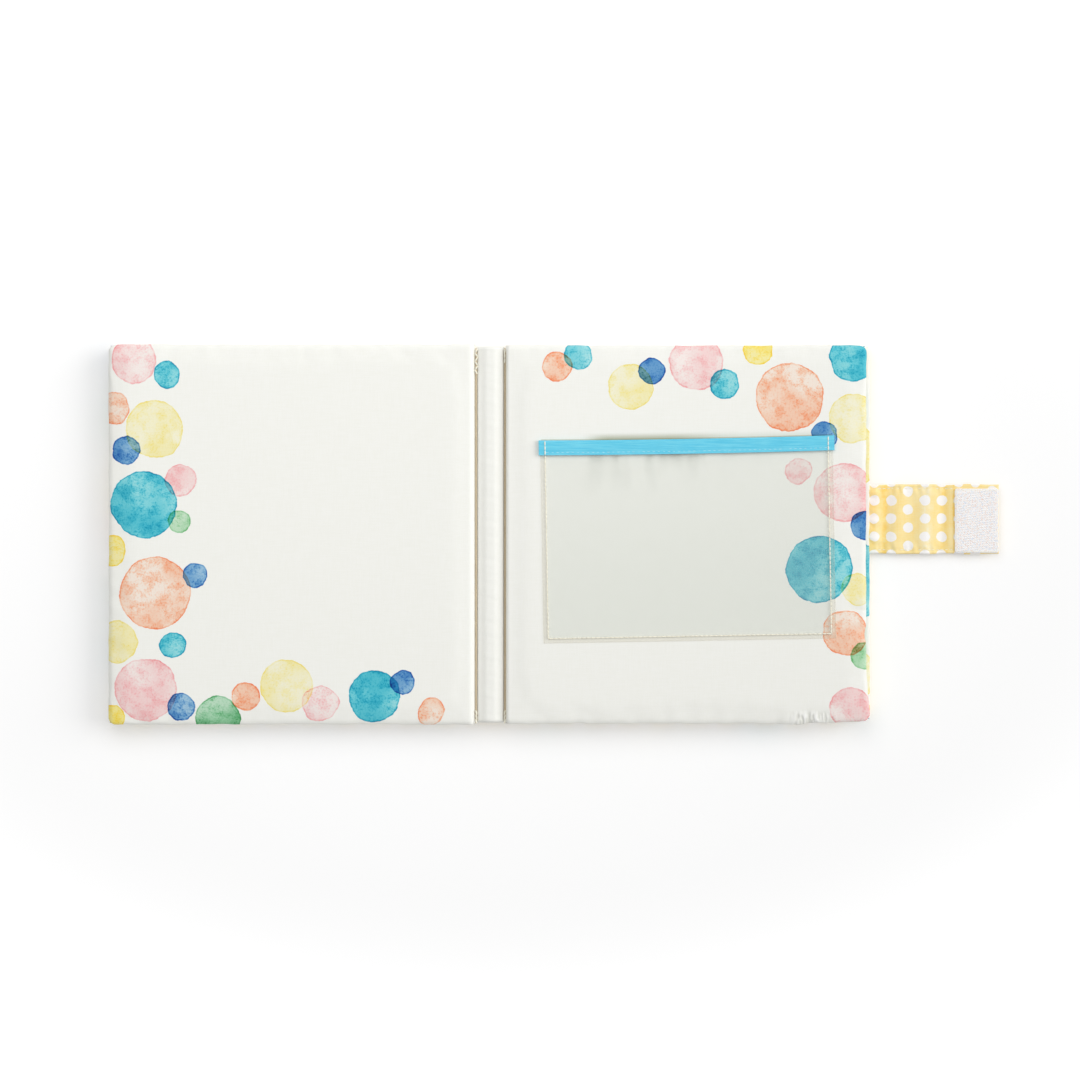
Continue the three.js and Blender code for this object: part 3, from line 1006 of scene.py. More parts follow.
@dataclass
class PadForm:
    """The outside of one padded panel: a rounded pillow round a flat sheet of foam.

    Distances are from the middle of the spine, and the side says which way they run.
    """

    side: int
    near: float
    far: float
    half: float
    bottom: float
    seam: float
    top: float
    corner: float = 5 * MM
    near_corner: float = 2.4 * MM
    upper_round: float = 3.5 * MM
    lower_round: float = 3.5 * MM
    tight_near: float = 1.0
    tight_far: float = 1.0
    straight: bool = False
    draw_in: float = 0.35 * MM
    draw_reach: float = 25 * MM
    crown: float = 0.8 * MM
    shoulder: float = 16 * MM
    taper: float = 0.0
    thin: float = 1.0
    pinch: float = 0.35 * MM
    step: float = 3.4 * MM
    edge_steps: int = 5
    seed: int = 1
    pucker: float = 0.16 * MM
    scallop: float = 0.2 * MM
    sewn_flat: float = 12 * MM
    gathers: tuple[Gather, ...] = ()
    foot_flare: tuple[float, float] = (0.0, 0.0)
    flare_reach: float = 17 * MM

    def lines(self, length: float) -> np.ndarray:
        """Places the grid's lines across a length, close together round both edges.

        Args:
            length: The length that they cross.

        Returns:
            Their places from 0 to the length.
        """
        round_edge = max(self.upper_round, self.lower_round)
        edge = round_edge * (1 - np.cos(np.linspace(0, math.pi / 2, self.edge_steps + 1)))
        cells = max(2, round((length - 2 * round_edge) / self.step))
        middle = np.linspace(round_edge, length - round_edge, cells + 1)[1:-1]
        return np.concatenate([edge, middle, length - edge[::-1]])

    def share(self, x: np.ndarray) -> np.ndarray:
        """Measures how the panel thins down towards the spine.

        Args:
            x: Distances from the spine's middle.

        Returns:
            How much of its full thickness it has there.
        """
        if self.taper == 0:
            return np.ones_like(x)
        way = np.clip((x - self.near) / self.taper, 0, 1)
        return self.thin + (1 - self.thin) * np.sin(way * math.pi / 2)

    def insets(self, x: np.ndarray, y: np.ndarray) -> tuple[np.ndarray, np.ndarray]:
        """Measures how far points lie from the nearest side edge and from the nearest end edge."""
        return np.minimum(x - self.near, self.far - x), self.half - np.abs(y)

    def ring(self, x: np.ndarray, y: np.ndarray) -> np.ndarray:
        """Measures how far points lie inside the panel's outline."""
        return np.maximum(np.minimum(*self.insets(x, y)), 0)

    def outline(self, x: np.ndarray, y: np.ndarray) -> tuple[np.ndarray, np.ndarray]:
        """Rounds the corners and draws in the sides of a square grid.

        Args:
            x: Distances from the spine's middle.
            y: Distances from the album's middle.

        Returns:
            The new x and y.
        """
        side_inset, end_inset = self.insets(x, y)
        ring = np.minimum(side_inset, end_inset)
        past = np.abs(side_inset - end_inset)
        to_far = self.far - x < x - self.near
        radius = np.maximum(np.where(to_far, self.corner, self.near_corner) - ring, 0)
        held = np.where(ring < 1e-7, self.pinch, ring)
        turn = np.where(past < radius, (1 - past / np.maximum(radius, 1e-9)) * math.pi / 4, 0)
        bent_near = held + radius * (1 - np.cos(turn))
        bent_past = np.where(past < radius, ring + radius * (1 - np.sin(turn)), ring + past)
        at_side = side_inset <= end_inset
        new_side = np.where(at_side, bent_near, bent_past)
        new_end = np.where(at_side, bent_past, bent_near)
        new_x = np.where(to_far, self.far - new_side, self.near + new_side)
        new_y = np.sign(y) * (self.half - new_end)
        bow_y = 1 - (new_y / self.half) ** 2
        bow_x = 1 - ((2 * new_x - self.near - self.far) / (self.far - self.near)) ** 2
        new_x = new_x - np.where(to_far, self.draw_in * bow_y * np.exp(-side_inset / self.draw_reach), 0)
        new_y = new_y - np.sign(y) * self.draw_in * bow_x * np.exp(-end_inset / self.draw_reach)
        return new_x, new_y

    def surface(self, u: np.ndarray, v: np.ndarray, way: int) -> np.ndarray:
        """Shapes one face of the pillow.

        Args:
            u: From 0 at the spine to 1 at the fore edge.
            v: From 0 at the foot to 1 at the head.
            way: 1 for the upper face, -1 for the lower one.

        Returns:
            The points.
        """
        across = self.lines(self.far - self.near)
        along = self.lines(2 * self.half)
        x = self.near + across[np.rint(u * (len(across) - 1)).astype(int)]
        y = along[np.rint(v * (len(along) - 1)).astype(int)] - self.half
        side_inset, end_inset = self.insets(x, y)
        sides = np.minimum((x - self.near) * self.tight_near, (self.far - x) * self.tight_far)
        rolled = np.maximum(np.minimum(sides, end_inset), 0)
        round_edge = self.upper_round if way > 0 else self.lower_round
        rounding = np.sqrt(np.clip(1 - (1 - np.minimum(rolled / round_edge, 1)) ** 2, 0, 1))
        ring = side_inset if self.straight else self.ring(x, y)
        ramp = (1 - np.cos(math.pi * np.clip((ring - round_edge) / (self.shoulder - round_edge), 0, 1))) / 2
        crown = self.crown * self.share(x) if way > 0 else 0.0
        rise = (self.top - self.seam if way > 0 else self.seam - self.bottom) * self.share(x)
        seam = self.bottom + (self.seam - self.bottom) * self.share(x)
        z = seam + way * ((rise - crown) * rounding + crown * ramp)
        new_x, new_y = self.outline(x, y)
        return np.column_stack([self.side * new_x, new_y, z])

    def shell(self, name: str) -> Piece:
        """Makes the closed pillow, ready to be cut.

        Args:
            name: The piece's name.

        Returns:
            The pillow, its faces marked 1 above and 0 below.
        """
        across = len(self.lines(self.far - self.near)) - 1
        along = len(self.lines(2 * self.half)) - 1
        faces = []
        for way, mark in ((1, 1), (-1, 0)):
            face = Bench.grid(f"{name}_{mark}", across, along, lambda u, v, way=way: self.surface(u, v, way))
            marks = face.data.attributes.new("upper", "INT", "FACE")
            marks.data.foreach_set("value", np.full(len(face.data.polygons), mark, np.int32))
            faces.append(face)
        shell = Bench.join(name, faces)
        Bench.close(shell, 0.02 * MM)
        return shell

    def pillow(self, name: str) -> Piece:
        """Makes a closed pillow that isn't cut.

        Args:
            name: The piece's name.

        Returns:
            The pillow.
        """
        pillow = self.shell(name)
        pillow.data.attributes.remove(pillow.data.attributes["upper"])
        return pillow

    def pucker_up(self, points: np.ndarray) -> np.ndarray:
        """Adds the small puckers that a seam leaves round a padded edge.

        Args:
            points: The panel's points.

        Returns:
            The puckered points.
        """
        x, y = self.side * points[:, 0], points[:, 1]
        side_inset, end_inset = self.insets(x, y)
        ring = self.ring(x, y)
        at_end = end_inset < side_inset
        along = np.where(at_end, x + 0.3 * np.sign(y), y + 0.7 * np.sign(x - (self.near + self.far) / 2))
        strength = np.full(len(points), 1.0)
        for gather in self.gathers:
            away = ((x - gather.x) ** 2 + (y - gather.y) ** 2) / gather.reach**2
            strength += gather.depth * np.exp(-away)
        free = np.clip((x - self.near) / self.sewn_flat, 0, 1)
        fade = np.clip(ring / (1.5 * MM), 0, 1) * np.exp(-ring / (6 * MM)) * free
        ripples = waves(along, (5.5 * MM, 8.2 * MM, 13 * MM), self.seed)
        moved = points.copy()
        moved[:, 2] += np.sign(points[:, 2] - self.seam) * self.pucker * strength * fade * ripples
        slope = np.exp(-ring / (7 * MM)) * free
        dips = self.scallop * strength * slope * waves(along, (11 * MM, 19 * MM, 47 * MM), self.seed + 5)
        to_far = (self.far - x < x - self.near) & ~at_end
        moved[:, 0] -= np.where(to_far, self.side * dips, 0)
        moved[:, 1] -= np.where(at_end, np.sign(y) * dips, 0)
        at_corner = np.exp(-(((x - self.far) ** 2 + (y + self.half) ** 2) / self.flare_reach**2))
        moved[:, 0] += self.side * self.foot_flare[0] * at_corner
        moved[:, 1] += self.foot_flare[1] * at_corner
        return moved


class Simulation:
    """Lets the padded shells swell and settle as sewn cloth does."""

    FRAMES = 20
    HELD_EDGE = 0.6 * MM
    HELD_GUTTER = 9 * MM
    CLOTH = {
        "quality": 5,
        "mass": 0.2,
        "tension_stiffness": 12,
        "compression_stiffness": 12,
        "shear_stiffness": 4,
        "bending_stiffness": 0.15,
        "use_pressure": True,
        "uniform_pressure_force": 4,
        "shrink_min": -0.012,
    }

    def __init__(self) -> None:
        """Starts with no panels."""
        self.panels: list["Panel"] = []

    def add(self, panel: "Panel") -> None:
        """Holds a shell's seam and puts air pressure in it.

        Args:
            panel: The panel with the shell.
        """
        shell, form = panel.shell, panel.form
        points = Bench.points(shell)
        x = form.side * points[:, 0]
        sewn = (form.ring(x, points[:, 1]) < self.HELD_EDGE) | (x < form.near + self.HELD_GUTTER)
        held = shell.vertex_groups.new(name="held")
        held.add([int(i) for i in np.nonzero(sewn)[0]], 1.0, "REPLACE")
        cloth = shell.modifiers.new("cloth", "CLOTH")
        for key, value in self.CLOTH.items():
            setattr(cloth.settings, key, value)
        cloth.settings.effector_weights.gravity = 0
        cloth.settings.vertex_group_mass = held.name
        cloth.collision_settings.use_collision = False
        cloth.point_cache.frame_end = self.FRAMES
        self.panels.append(panel)

    def run(self) -> None:
        """Steps through the frames, and keeps a capped share of what the cloth did."""
        before = [Bench.points(panel.shell) for panel in self.panels]
        for number in range(1, self.FRAMES + 1):
            bpy.context.scene.frame_set(number)
        for panel, rest in zip(self.panels, before):
            Bench.select(panel.shell)
            bpy.ops.object.modifier_apply(modifier="cloth")
            panel.settle(rest, Bench.points(panel.shell))
        bpy.context.scene.frame_set(1)


@dataclass
class Panel:
    """One padded panel: foam between an upper and a lower cloth face."""

    name: str
    form: PadForm
    upper_node: str
    lower_node: str
    foam_node: str
    upper_name: str
    lower_name: str
    cloth: float = 0.8 * MM
    gap: float = 0.3 * MM
    swell: float = 0.55 * MM
    cap: float = 1.5 * MM
    middle_share: float = 0.35
    settle_reach: float = 22 * MM
    headroom: float = 0.5 * MM
    soft_press: float = 0.3 * MM
    set_back: float = 3 * MM
    foam_thin: float = 1.9
    level: int = 1
    shell: Optional[Piece] = field(default=None, repr=False)
    upper: Optional[Piece] = field(default=None, repr=False)
    lower: Optional[Piece] = field(default=None, repr=False)
    foam: Optional[Piece] = field(default=None, repr=False)

    def start(self, simulation: Optional[Simulation]) -> None:
        """Makes the closed shell.

        Args:
            simulation: What swells it, where anything does.
        """
        self.shell = self.form.shell(f"{self.name}_shell")
        if simulation is not None:
            simulation.add(self)

    def settle(self, rest: np.ndarray, swollen: np.ndarray) -> None:
        """Keeps a capped share of the cloth's own movement, most of it near the edges.

        Args:
            rest: The shell's points before the simulation.
            swollen: Its points after it.
        """
        moved = swollen - rest
        length = np.linalg.norm(moved, axis=1, keepdims=True)
        moved *= np.minimum(1, self.cap / np.maximum(length, 1e-9))
        ring = self.form.ring(self.form.side * rest[:, 0], rest[:, 1])
        share = self.middle_share + (1 - self.middle_share) * np.exp(-ring / self.settle_reach)
        log.info("%s swelled %.2f mm before the cap", self.name, float(length.max()) / MM)
        Bench.move_points(self.shell, rest + moved * share[:, None] * (self.swell / self.cap))

    def cut(self, dress: Optional[Change] = None) -> None:
        """Puckers the shell, and cuts it along its seam into its two cloth faces.

        Args:
            dress: A last change to the shell's points, if there is one.
        """
        points = self.form.pucker_up(Bench.points(self.shell))
        points[:, 2] = self._pressed(points[:, 2])
        Bench.move_points(self.shell, points if dress is None else dress(points))
        Bench.apply(self.shell, "SUBSURF", levels=self.level, render_levels=self.level)
        self.lower = Bench.copy(self.shell, self.lower_name)
        self.upper = self.shell
        for piece, mark in ((self.upper, 1), (self.lower, 0)):
            Bench.keep_faces(piece, "upper", mark)
        Bench.called(self.upper, self.upper_name)
        for piece in (self.upper, self.lower):
            Bench.thicken(piece, self.cloth, -1.0)
            Bench.smooth(piece)

    def _pressed(self, z: np.ndarray) -> np.ndarray:
        """Presses whatever stands over the panel's height softly back to it.

        Args:
            z: The heights of points.

        Returns:
            Their new heights.
        """
        over = np.maximum(z - (self.form.top - self.soft_press), 0)
        under = np.maximum(self.form.bottom - z, 0)
        return z - over + self.soft_press * np.tanh(over / self.soft_press) + under

    def fill(self) -> None:
        """Makes the foam sheet inside."""
        form, inset = self.form, self.cloth + self.gap
        inner = replace(
            form,
            near=form.near + inset + (self.set_back if form.taper else 0.0),
            far=form.far - inset - form.draw_in,
            half=form.half - inset - form.draw_in,
            bottom=form.bottom + inset,
            top=form.top - inset - self.headroom,
            corner=max(form.corner - inset, 0.6 * MM),
            upper_round=form.upper_round - inset,
            lower_round=form.lower_round - inset,
            draw_in=0.0,
            crown=0.2 * MM,
            pinch=0.0,
            step=6 * MM,
            thin=form.thin * self.foam_thin if form.taper else 1.0,
        )
        self.foam = inner.pillow(f"{self.name}_foam_sheet")
        Bench.smooth(self.foam)

    def dress(self, upper: Material, upper_slot: Slot, lower: Material, lower_slot: Slot) -> None:
        """Args:
            upper: The upper cloth's finish.
            upper_slot: Its slot.
            lower: The lower cloth's finish.
            lower_slot: Its slot.
        """
        for piece in self.uppers():
            Bench.finish(piece, upper, upper_slot, self.upper_node)
        Bench.finish(self.lower, lower, lower_slot, self.lower_node)
        Bench.finish(self.foam, Finishes.foam, Slot.FOAM, self.foam_node)

    def uppers(self) -> Sequence[Piece]:
        """Gives the pieces of the upper cloth."""
        return (self.upper,)

    def pieces(self) -> Sequence[Piece]:
        """Gives all of the panel's pieces."""
        return (*self.uppers(), self.lower, self.foam)

    def blend(self, held: str, moving: str, end: float) -> None:
        """Bakes the place of each of the panel's pieces into its mesh.

        Args:
            held: Not used.
            moving: Not used.
            end: Not used.
        """
        side, near = self.form.side, self.form.near
        for piece in self.pieces():
            side * near
            side * end
            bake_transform(piece)


@dataclass
class Spine(Panel):
    """The spine: its strip is cut down the middle into a left and a right half."""

    halves: Sequence[Piece] = ()

    def cut(self, dress: Optional[Change] = None) -> None:
        """Cuts the shell like any panel's, and its upper cloth once more down the middle.

        Args:
            dress: A last change to the shell's points, if there is one.
        """
        super().cut(dress)
        sides = (("left", -1), ("right", 1))
        self.halves = tuple(Bench.half(self.upper, f"{self.upper_name}_{name}", side) for name, side in sides)
        bpy.data.objects.remove(self.upper)

    def uppers(self) -> Sequence[Piece]:
        """Gives the strip's left and right halves."""
        return self.halves


class Finishes:
    """The materials that several pieces share."""

    # Painted shade and highlight across the strap: the middle, the reach and the depth of each, shade above 0
    # and highlight below it.
    FOLD_SHADES = (
        (218.6, 3.0, 0.35),
        (226.0, 3.2, 0.55),
        (249.4, 5.0, -0.4),
        (259.8, 3.4, 0.4),
        (265.3, 0.9, 0.6),
    )
    foam: Material
    vinyl: Material
    ribbon: Material
    thread: Material
    ribbon_thread: Material
    dotted: Material
    strap: Material
    plain_page: Material

    @classmethod
    def make(cls) -> None:
        """Makes them once."""
        cls.foam = Foam().material()
        cls.vinyl = Vinyl().material()
        cls.ribbon = Ribbon().material()
        cls.thread = Thread("cream_thread").material()
        cls.ribbon_thread = Thread("pale_blue_thread", colour("b4e4f0")).material()
        cls.dotted = DottedCloth("dotted_cloth").material()
        cls.strap = DottedCloth("strap_dotted_cloth", False, 5, 2, 0.9, cls.FOLD_SHADES).material()
        cls.plain_page = PageCloth("plain_page_cloth").material()


def dots_of(rows: dict[Ink, Sequence[tuple[float, float, float]]]) -> tuple[Dot, ...]:
    """Makes dots from the x, y and radius of the dots of each ink."""
    return tuple(Dot(*row, ink) for ink, inked in rows.items() for row in inked)


def mirrored(dots: Sequence[Dot], shift: int, flip_y: bool = False) -> tuple[Dot, ...]:
    """Turns a print into another page's: mirrored across the spine, with its inks moved on.

    Args:
        dots: The print.
        shift: How many inks each dot's ink moves on.
        flip_y: Whether it is turned upside down as well.

    Returns:
        The other print.
    """
    inks = list(Ink)
    sign = -1 if flip_y else 1
    return tuple(Dot(-d.x, sign * d.y, d.radius, inks[(inks.index(d.ink) + shift) % len(inks)]) for d in dots)


LEFT_PRINT = dots_of({
    Ink.PINK: ((-203, 99, 13), (-176, 31, 9), (-196, -88, 18), (-97, -96, 10.5)),
    Ink.TEAL: ((-184, 91, 7.5), (-197, 17, 19), (-181, -63, 7.5), (-66, -92, 15)),
    Ink.CORAL: ((-214, 72, 9), (-191, -33, 20.5), (-139, -92, 8), (-34, -101, 7.5)),
    Ink.PALE_YELLOW: ((-191, 60, 16.5), (-213, -61, 12), (-116, -86, 15)),
    Ink.BLUE: ((-207, 48, 8), (-168, -23, 7), (-176, -98, 8), (-50, -84, 7)),
    Ink.LIGHT_GREEN: ((-177, 7, 6.5),),
    Ink.GOLD: ((-216, -9, 8.5), (-216, -105, 8)),
    Ink.GREEN: ((-155, -105, 13),),
})

RIGHT_PRINT = dots_of({
    Ink.CORAL: ((38, 96, 8.5), (170, 78, 19.5), (202, -56, 13)),
    Ink.LIGHT_TEAL: ((50, 102, 8),),
    Ink.PALE_YELLOW: ((80, 84, 13), (207, 66, 14), (209, -31, 9)),
    Ink.BLUE: ((92, 93, 7.5), (190, 57, 7.5), (213, 5, 8)),
    Ink.PINK: ((117, 98, 15.5), (175, 36, 7.5), (201, 24, 17), (205, -99, 12)),
    Ink.TEAL: ((133, 86, 8.5), (206, 100, 13), (187, -20, 19)),
    Ink.GOLD: ((152, 105, 8.5),),
    Ink.LIGHT_GREEN: ((213, -69, 8),),
})

COVER_PRINT = dots_of({
    Ink.PINK: ((30, 92, 15), (186, 86, 17), (184, -92, 12), (134, -100, 8)),
    Ink.TEAL: ((52, 98, 8), (112, -92, 15)),
    Ink.PALE_YELLOW: ((96, 92, 16), (204, 45, 19), (206, -80, 15)),
    Ink.BLUE: ((118, 86, 8),),
    Ink.CORAL: ((150, 98, 12), (186, 12, 8), (34, -92, 13)),
    Ink.LIGHT_TEAL: ((204, -26, 24),),
    Ink.GOLD: ((211, -103, 8),),
    Ink.GREEN: ((60, -100, 9),),
})


class StitchRun:
    """Straight rows of sewing thread, one small raised stitch after another."""

    FLATNESS = 0.8
    SEGMENTS, RINGS = 8, 6

    def __init__(self, name: str, length: float = 2.2 * MM, pitch: float = 2.7 * MM, *, width: float) -> None:
        """Starts with no rows.

        Args:
            name: The piece's name.
            length: Of one stitch.
            pitch: From one stitch to the next.
            width: Of the thread.
        """
        self.name = name
        self.length = length
        self.pitch = pitch
        self.width = width
        self.rows: list[Piece] = []

    def row(self, start: Vector, end: Vector, up: Vector = Vector((0, 0, 1))) -> None:
        """Lays one row of stitches.

        Args:
            start: Where it starts.
            end: Where it ends.
            up: The way that the stitches stand out.
        """
        count = max(1, round((end - start).length / self.pitch))
        pitch = (end - start).length / count
        Bench.select()
        bpy.ops.mesh.primitive_uv_sphere_add(segments=self.SEGMENTS, ring_count=self.RINGS, radius=0.5)
        stitch = bpy.context.object
        size = (self.length, self.width, self.width * self.FLATNESS)
        Bench.edit(
            stitch,
            lambda: bpy.ops.transform.rotate(value=math.pi / 2, orient_axis="Y", center_override=(0, 0, 0)),
            lambda: bpy.ops.transform.resize(value=size),
        )
        Bench.repeat(stitch, count, (pitch, 0, 0))
        along = (end - start).normalized()
        across = up.cross(along).normalized()
        turn = Matrix((along, across, along.cross(across))).transposed().to_4x4()
        stitch.data.transform(Matrix.Translation(start + along * (pitch / 2)) @ turn)
        stitch.data.update()
        self.rows.append(stitch)

    def sewn(self, thread: Material) -> Piece:
        """Joins the rows into one piece of a thread.

        Args:
            thread: The thread's finish.

        Returns:
            The finished piece.
        """
        joined = Bench.join(self.name, self.rows)
        Bench.smooth(joined, 80)
        return Bench.finish(joined, thread)


@dataclass
class Pocket:
    """A clear pocket for one print: a vinyl window, a folded ribbon along its mouth and its stitches.

    It is made in a frame of its own, x across the page, y up it and z up from its cloth.
    """

    FLATS, TURNS = 8, 7
    RIBBON_CELLS = 96
    RIBBON_SEAMS = 14
    RAY_START = 0.1
    WELD = 0.001 * MM

    name: str
    face: Face
    side: int
    body: str
    page: Piece
    width: float = 166.4 * MM
    height: float = 115.5 * MM
    tilt: float = POCKET_TILT
    film: float = 0.4 * MM
    film_lift: float = 0.32 * MM
    swell: float = 0.55 * MM
    ripple: float = 0.3 * MM
    tuck: float = 0.6 * MM
    step: float = 2.6 * MM
    stitch_inset: float = 2.7 * MM
    seam_step: float = 13.5 * MM
    ribbon_length: float = 168 * MM
    ribbon_width: float = 8.5 * MM
    ribbon_cloth: float = 0.4 * MM
    ribbon_gap: float = 0.14 * MM
    ribbon_lift: float = 0.3 * MM
    ribbon_hem: float = 1.5 * MM
    groove: float = 0.2 * MM
    crinkle: float = 0.05 * MM
    grip: float = 6.5 * MM
    bow: float = -MOUTH_BOW * MM
    lift: float = 0.28 * MM

    @property
    def stack(self) -> float:
        """How thick the folded ribbon is with the film in it."""
        return 2 * (self.ribbon_cloth + self.ribbon_gap) + self.film

    @property
    def foot(self) -> float:
        """Where the film starts."""
        return -self.height / 2

    @property
    def lip(self) -> float:
        """Where the ribbon's lower edges lie."""
        return self.height / 2 - self.ribbon_width

    def build(self) -> None:
        """Makes and dresses the pocket's pieces."""
        low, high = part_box(f"{self.name}_pocket_binding")
        film_low, film_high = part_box(f"{self.name}_pocket_window")
        y = (min(low.y, film_low.y) + max(high.y, film_high.y)) / 2
        turn = Matrix.Rotation(self.side * self.tilt, 4, "Z")
        if self.face is Face.DOWN:
            turn = Matrix.Rotation(math.pi, 4, "Y") @ turn
        self.place = Matrix.Translation(Vector(((film_low.x + film_high.x) / 2, y, 0))) @ turn
        self.tree = BVHTree.FromObject(self.page, bpy.context.evaluated_depsgraph_get())
        window = self._window()
        ribbon = self._ribbon()
        stitches = self._stitches()
        ribbon_stitches = self._ribbon_stitches()
        Bench.finish(window, Finishes.vinyl, Slot.VINYL, f"{self.name}_pocket_window")
        Bench.finish(ribbon, Finishes.ribbon, Slot.RIBBON, f"{self.name}_pocket_binding")
        for piece in (window, ribbon, stitches, ribbon_stitches):
            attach(piece, self.body)
        self.height - 2 * MM
        2 * self.ribbon_width

    def _settled(self, points: np.ndarray) -> np.ndarray:
        """Puts points of the pocket's own frame on the page.

        Args:
            points: Points as x, y and height over the page's cloth.

        Returns:
            Their places in the album.
        """
        way = Vector((0, 0, self.face.value))
        out = []
        for x, y, z in points:
            spot = self.place @ Vector((x, y, 0))
            start = Vector((spot.x, spot.y, 0)) + way * self.RAY_START
            hit, _, _, _ = self.tree.ray_cast(start, -way)
            out.append((spot.x, spot.y, hit.z + self.face.value * z))
        return np.array(out)

    def _mouth_lift(self, x: np.ndarray) -> np.ndarray:
        """Gives how far the mouth stands off the page: not at its sewn ends, most right of the middle."""
        way = np.clip(x / self.width + 0.5, 0, 1)
        return self.lift * np.sin(math.pi * way) ** 1.3 * (0.75 + 0.5 * way + 0.25 * np.sin(way * 19))

    def _bow(self, x: np.ndarray) -> np.ndarray:
        """Gives how far the mouth bows up the page between its ends."""
        return self.bow * (1 - (2 * x / self.width) ** 2)

    def _sheet(self, name: str, across: int, along: int, shape: Shape, thickness: float) -> Piece:
        """Makes a thin closed sheet.

        Args:
            name: The piece's name.
            across: Its cells along u.
            along: Its cells along v.
            shape: Gives the points for arrays of u and v from 0 to 1.
            thickness: How thick it is.

        Returns:
            The sheet.
        """
        sheet = Bench.grid(name, across, along, shape)
        Bench.thicken(sheet, thickness)
        Bench.close(sheet, self.WELD)
        Bench.smooth(sheet)
        return sheet

    def _window(self) -> Piece:
        """Makes the vinyl: a thin film, swollen a little and waved near its mouth.

        Returns:
            The film.
        """
        reach = self.lip + self.grip - self.foot
        cells = round(self.width / self.step), round(reach / self.step)

        def shape(u: np.ndarray, v: np.ndarray) -> np.ndarray:
            """Shapes the film.

            Args:
                u: From 0 at its left side to 1 at its right side.
                v: From 0 at its foot to 1 at the edge that the ribbon hides.

            Returns:
                The points.
            """
            x = (u - 0.5) * self.width
            sewn = self.stitch_inset / self.width
            inside = np.clip((u - sewn) / (1 - 2 * sewn), 0, 1)
            flat = np.sin(math.pi * inside) ** 0.7 * np.sin(math.pi / 2 * np.minimum(1, v * 2.5)) ** 0.7
            mouth = v**5
            hang = self._mouth_lift(x) * mouth
            ripple = self.ripple * waves(x, (17 * MM, 29 * MM, 43 * MM), 8) * np.sin(math.pi * inside) * v**4
            swell = self.swell * flat * (1 - mouth)
            z = self.film_lift + swell + hang + ripple * (1 - v**30) + self.tuck * v**16
            return self._settled(np.column_stack([x, self.foot + reach * v + self._bow(x) * v**6, z]))

        return self._sheet(f"{self.name}_vinyl_window", *cells, shape, self.film)

    def _ribbon(self) -> Piece:
        """Makes the binding: a ribbon folded over the vinyl's edge, its lower edges straight.

        Returns:
            The ribbon.
        """
        radius = (self.stack - self.ribbon_cloth) / 2
        straight = self.ribbon_width - self.stack / 2
        arc = math.pi * radius
        knots = np.cumsum((0, self.FLATS, self.TURNS, self.FLATS))
        lengths = np.cumsum((0, straight, arc, straight))

        def shape(u: np.ndarray, v: np.ndarray) -> np.ndarray:
            """Shapes the ribbon.

            Args:
                u: From 0 at its left end to 1 at its right end.
                v: From 0 at the edge on the page, over the fold, to 1 at the edge in view.

            Returns:
                The points.
            """
            x = (u - 0.5) * self.ribbon_length
            run = np.interp(v * knots[-1], knots, lengths)
            angle = np.clip((run - straight) / radius, 0, math.pi)
            back = np.maximum(run - straight - arc, 0)
            y = np.minimum(run, straight) + radius * np.sin(angle) - back
            groove = hump(y - self.ribbon_hem, 0.55 * MM) * self.groove
            z = radius * (1 - np.cos(angle)) - np.where(back > 0, groove, 0)
            rise = self.ribbon_lift + self._mouth_lift(x) * (0.7 + 0.3 * y / straight)
            crinkle = self.crinkle * waves(x, (7 * MM, 12 * MM), 3)
            height = z + self.ribbon_cloth / 2 + rise + crinkle
            return self._settled(np.column_stack([x, self.lip + y + self._bow(x), height]))

        name = f"{self.name}_mouth_ribbon"
        return self._sheet(name, self.RIBBON_CELLS, int(knots[-1]), shape, self.ribbon_cloth)

    def _stitches(self) -> Piece:
        """Sews the film down along its sides and foot, through the ribbon's ends.

        Returns:
            The stitches.
        """
        run = StitchRun(f"{self.name}_pocket_stitches", 2.7 * MM, 2.7 * MM, width=0.78 * MM)
        side = self.width / 2 - self.stitch_inset
        foot = self.foot + self.stitch_inset
        head = self.height / 2 - 0.6 * MM
        on_film = self.film_lift + self.film / 2 + 0.2 * MM
        on_ribbon = self.stack + 0.35 * MM
        for x in (-side, side):
            self._seam(run, (x, foot, on_film), (x, self.lip, on_film))
            self._row(run, (x, self.lip, on_ribbon), (x, head, on_ribbon))
        self._seam(run, (-side, foot, on_film), (side, foot, on_film))
        return run.sewn(Finishes.thread)

    def _ribbon_stitches(self) -> Piece:
        """Sews the ribbon along its lower edge with thread of its own colour.

        Returns:
            The stitches.
        """
        run = StitchRun(f"{self.name}_ribbon_stitches", 1.8 * MM, 2.7 * MM, width=0.4 * MM)
        side = self.width / 2 - self.stitch_inset
        x = np.linspace(-side, side, self.RIBBON_SEAMS + 1)
        rises = self._mouth_lift(x) * 0.75 + self.stack + 0.14 * MM
        places = np.column_stack([x, self.lip + self.ribbon_hem + self._bow(x), rises])
        for near, far in zip(places, places[1:]):
            self._row(run, near, far)
        return run.sewn(Finishes.ribbon_thread)

    def _seam(self, run: StitchRun, start: Sequence[float], end: Sequence[float]) -> None:
        """Sews a row in short lengths that follow the page.

        Args:
            run: The stitches.
            start: Where it starts, as x, y and height over the page.
            end: Where it ends.
        """
        count = max(1, round(math.dist(start, end) / self.seam_step))
        places = np.linspace(start, end, count + 1)
        for near, far in zip(places, places[1:]):
            self._row(run, near, far)

    def _row(self, run: StitchRun, start: Sequence[float], end: Sequence[float]) -> None:
        """Sews one row between two points, each with its height over the page."""
        near, far = self._settled(np.array([start, end]))
        run.row(Vector(near), Vector(far), Vector((0, 0, self.face.value)))


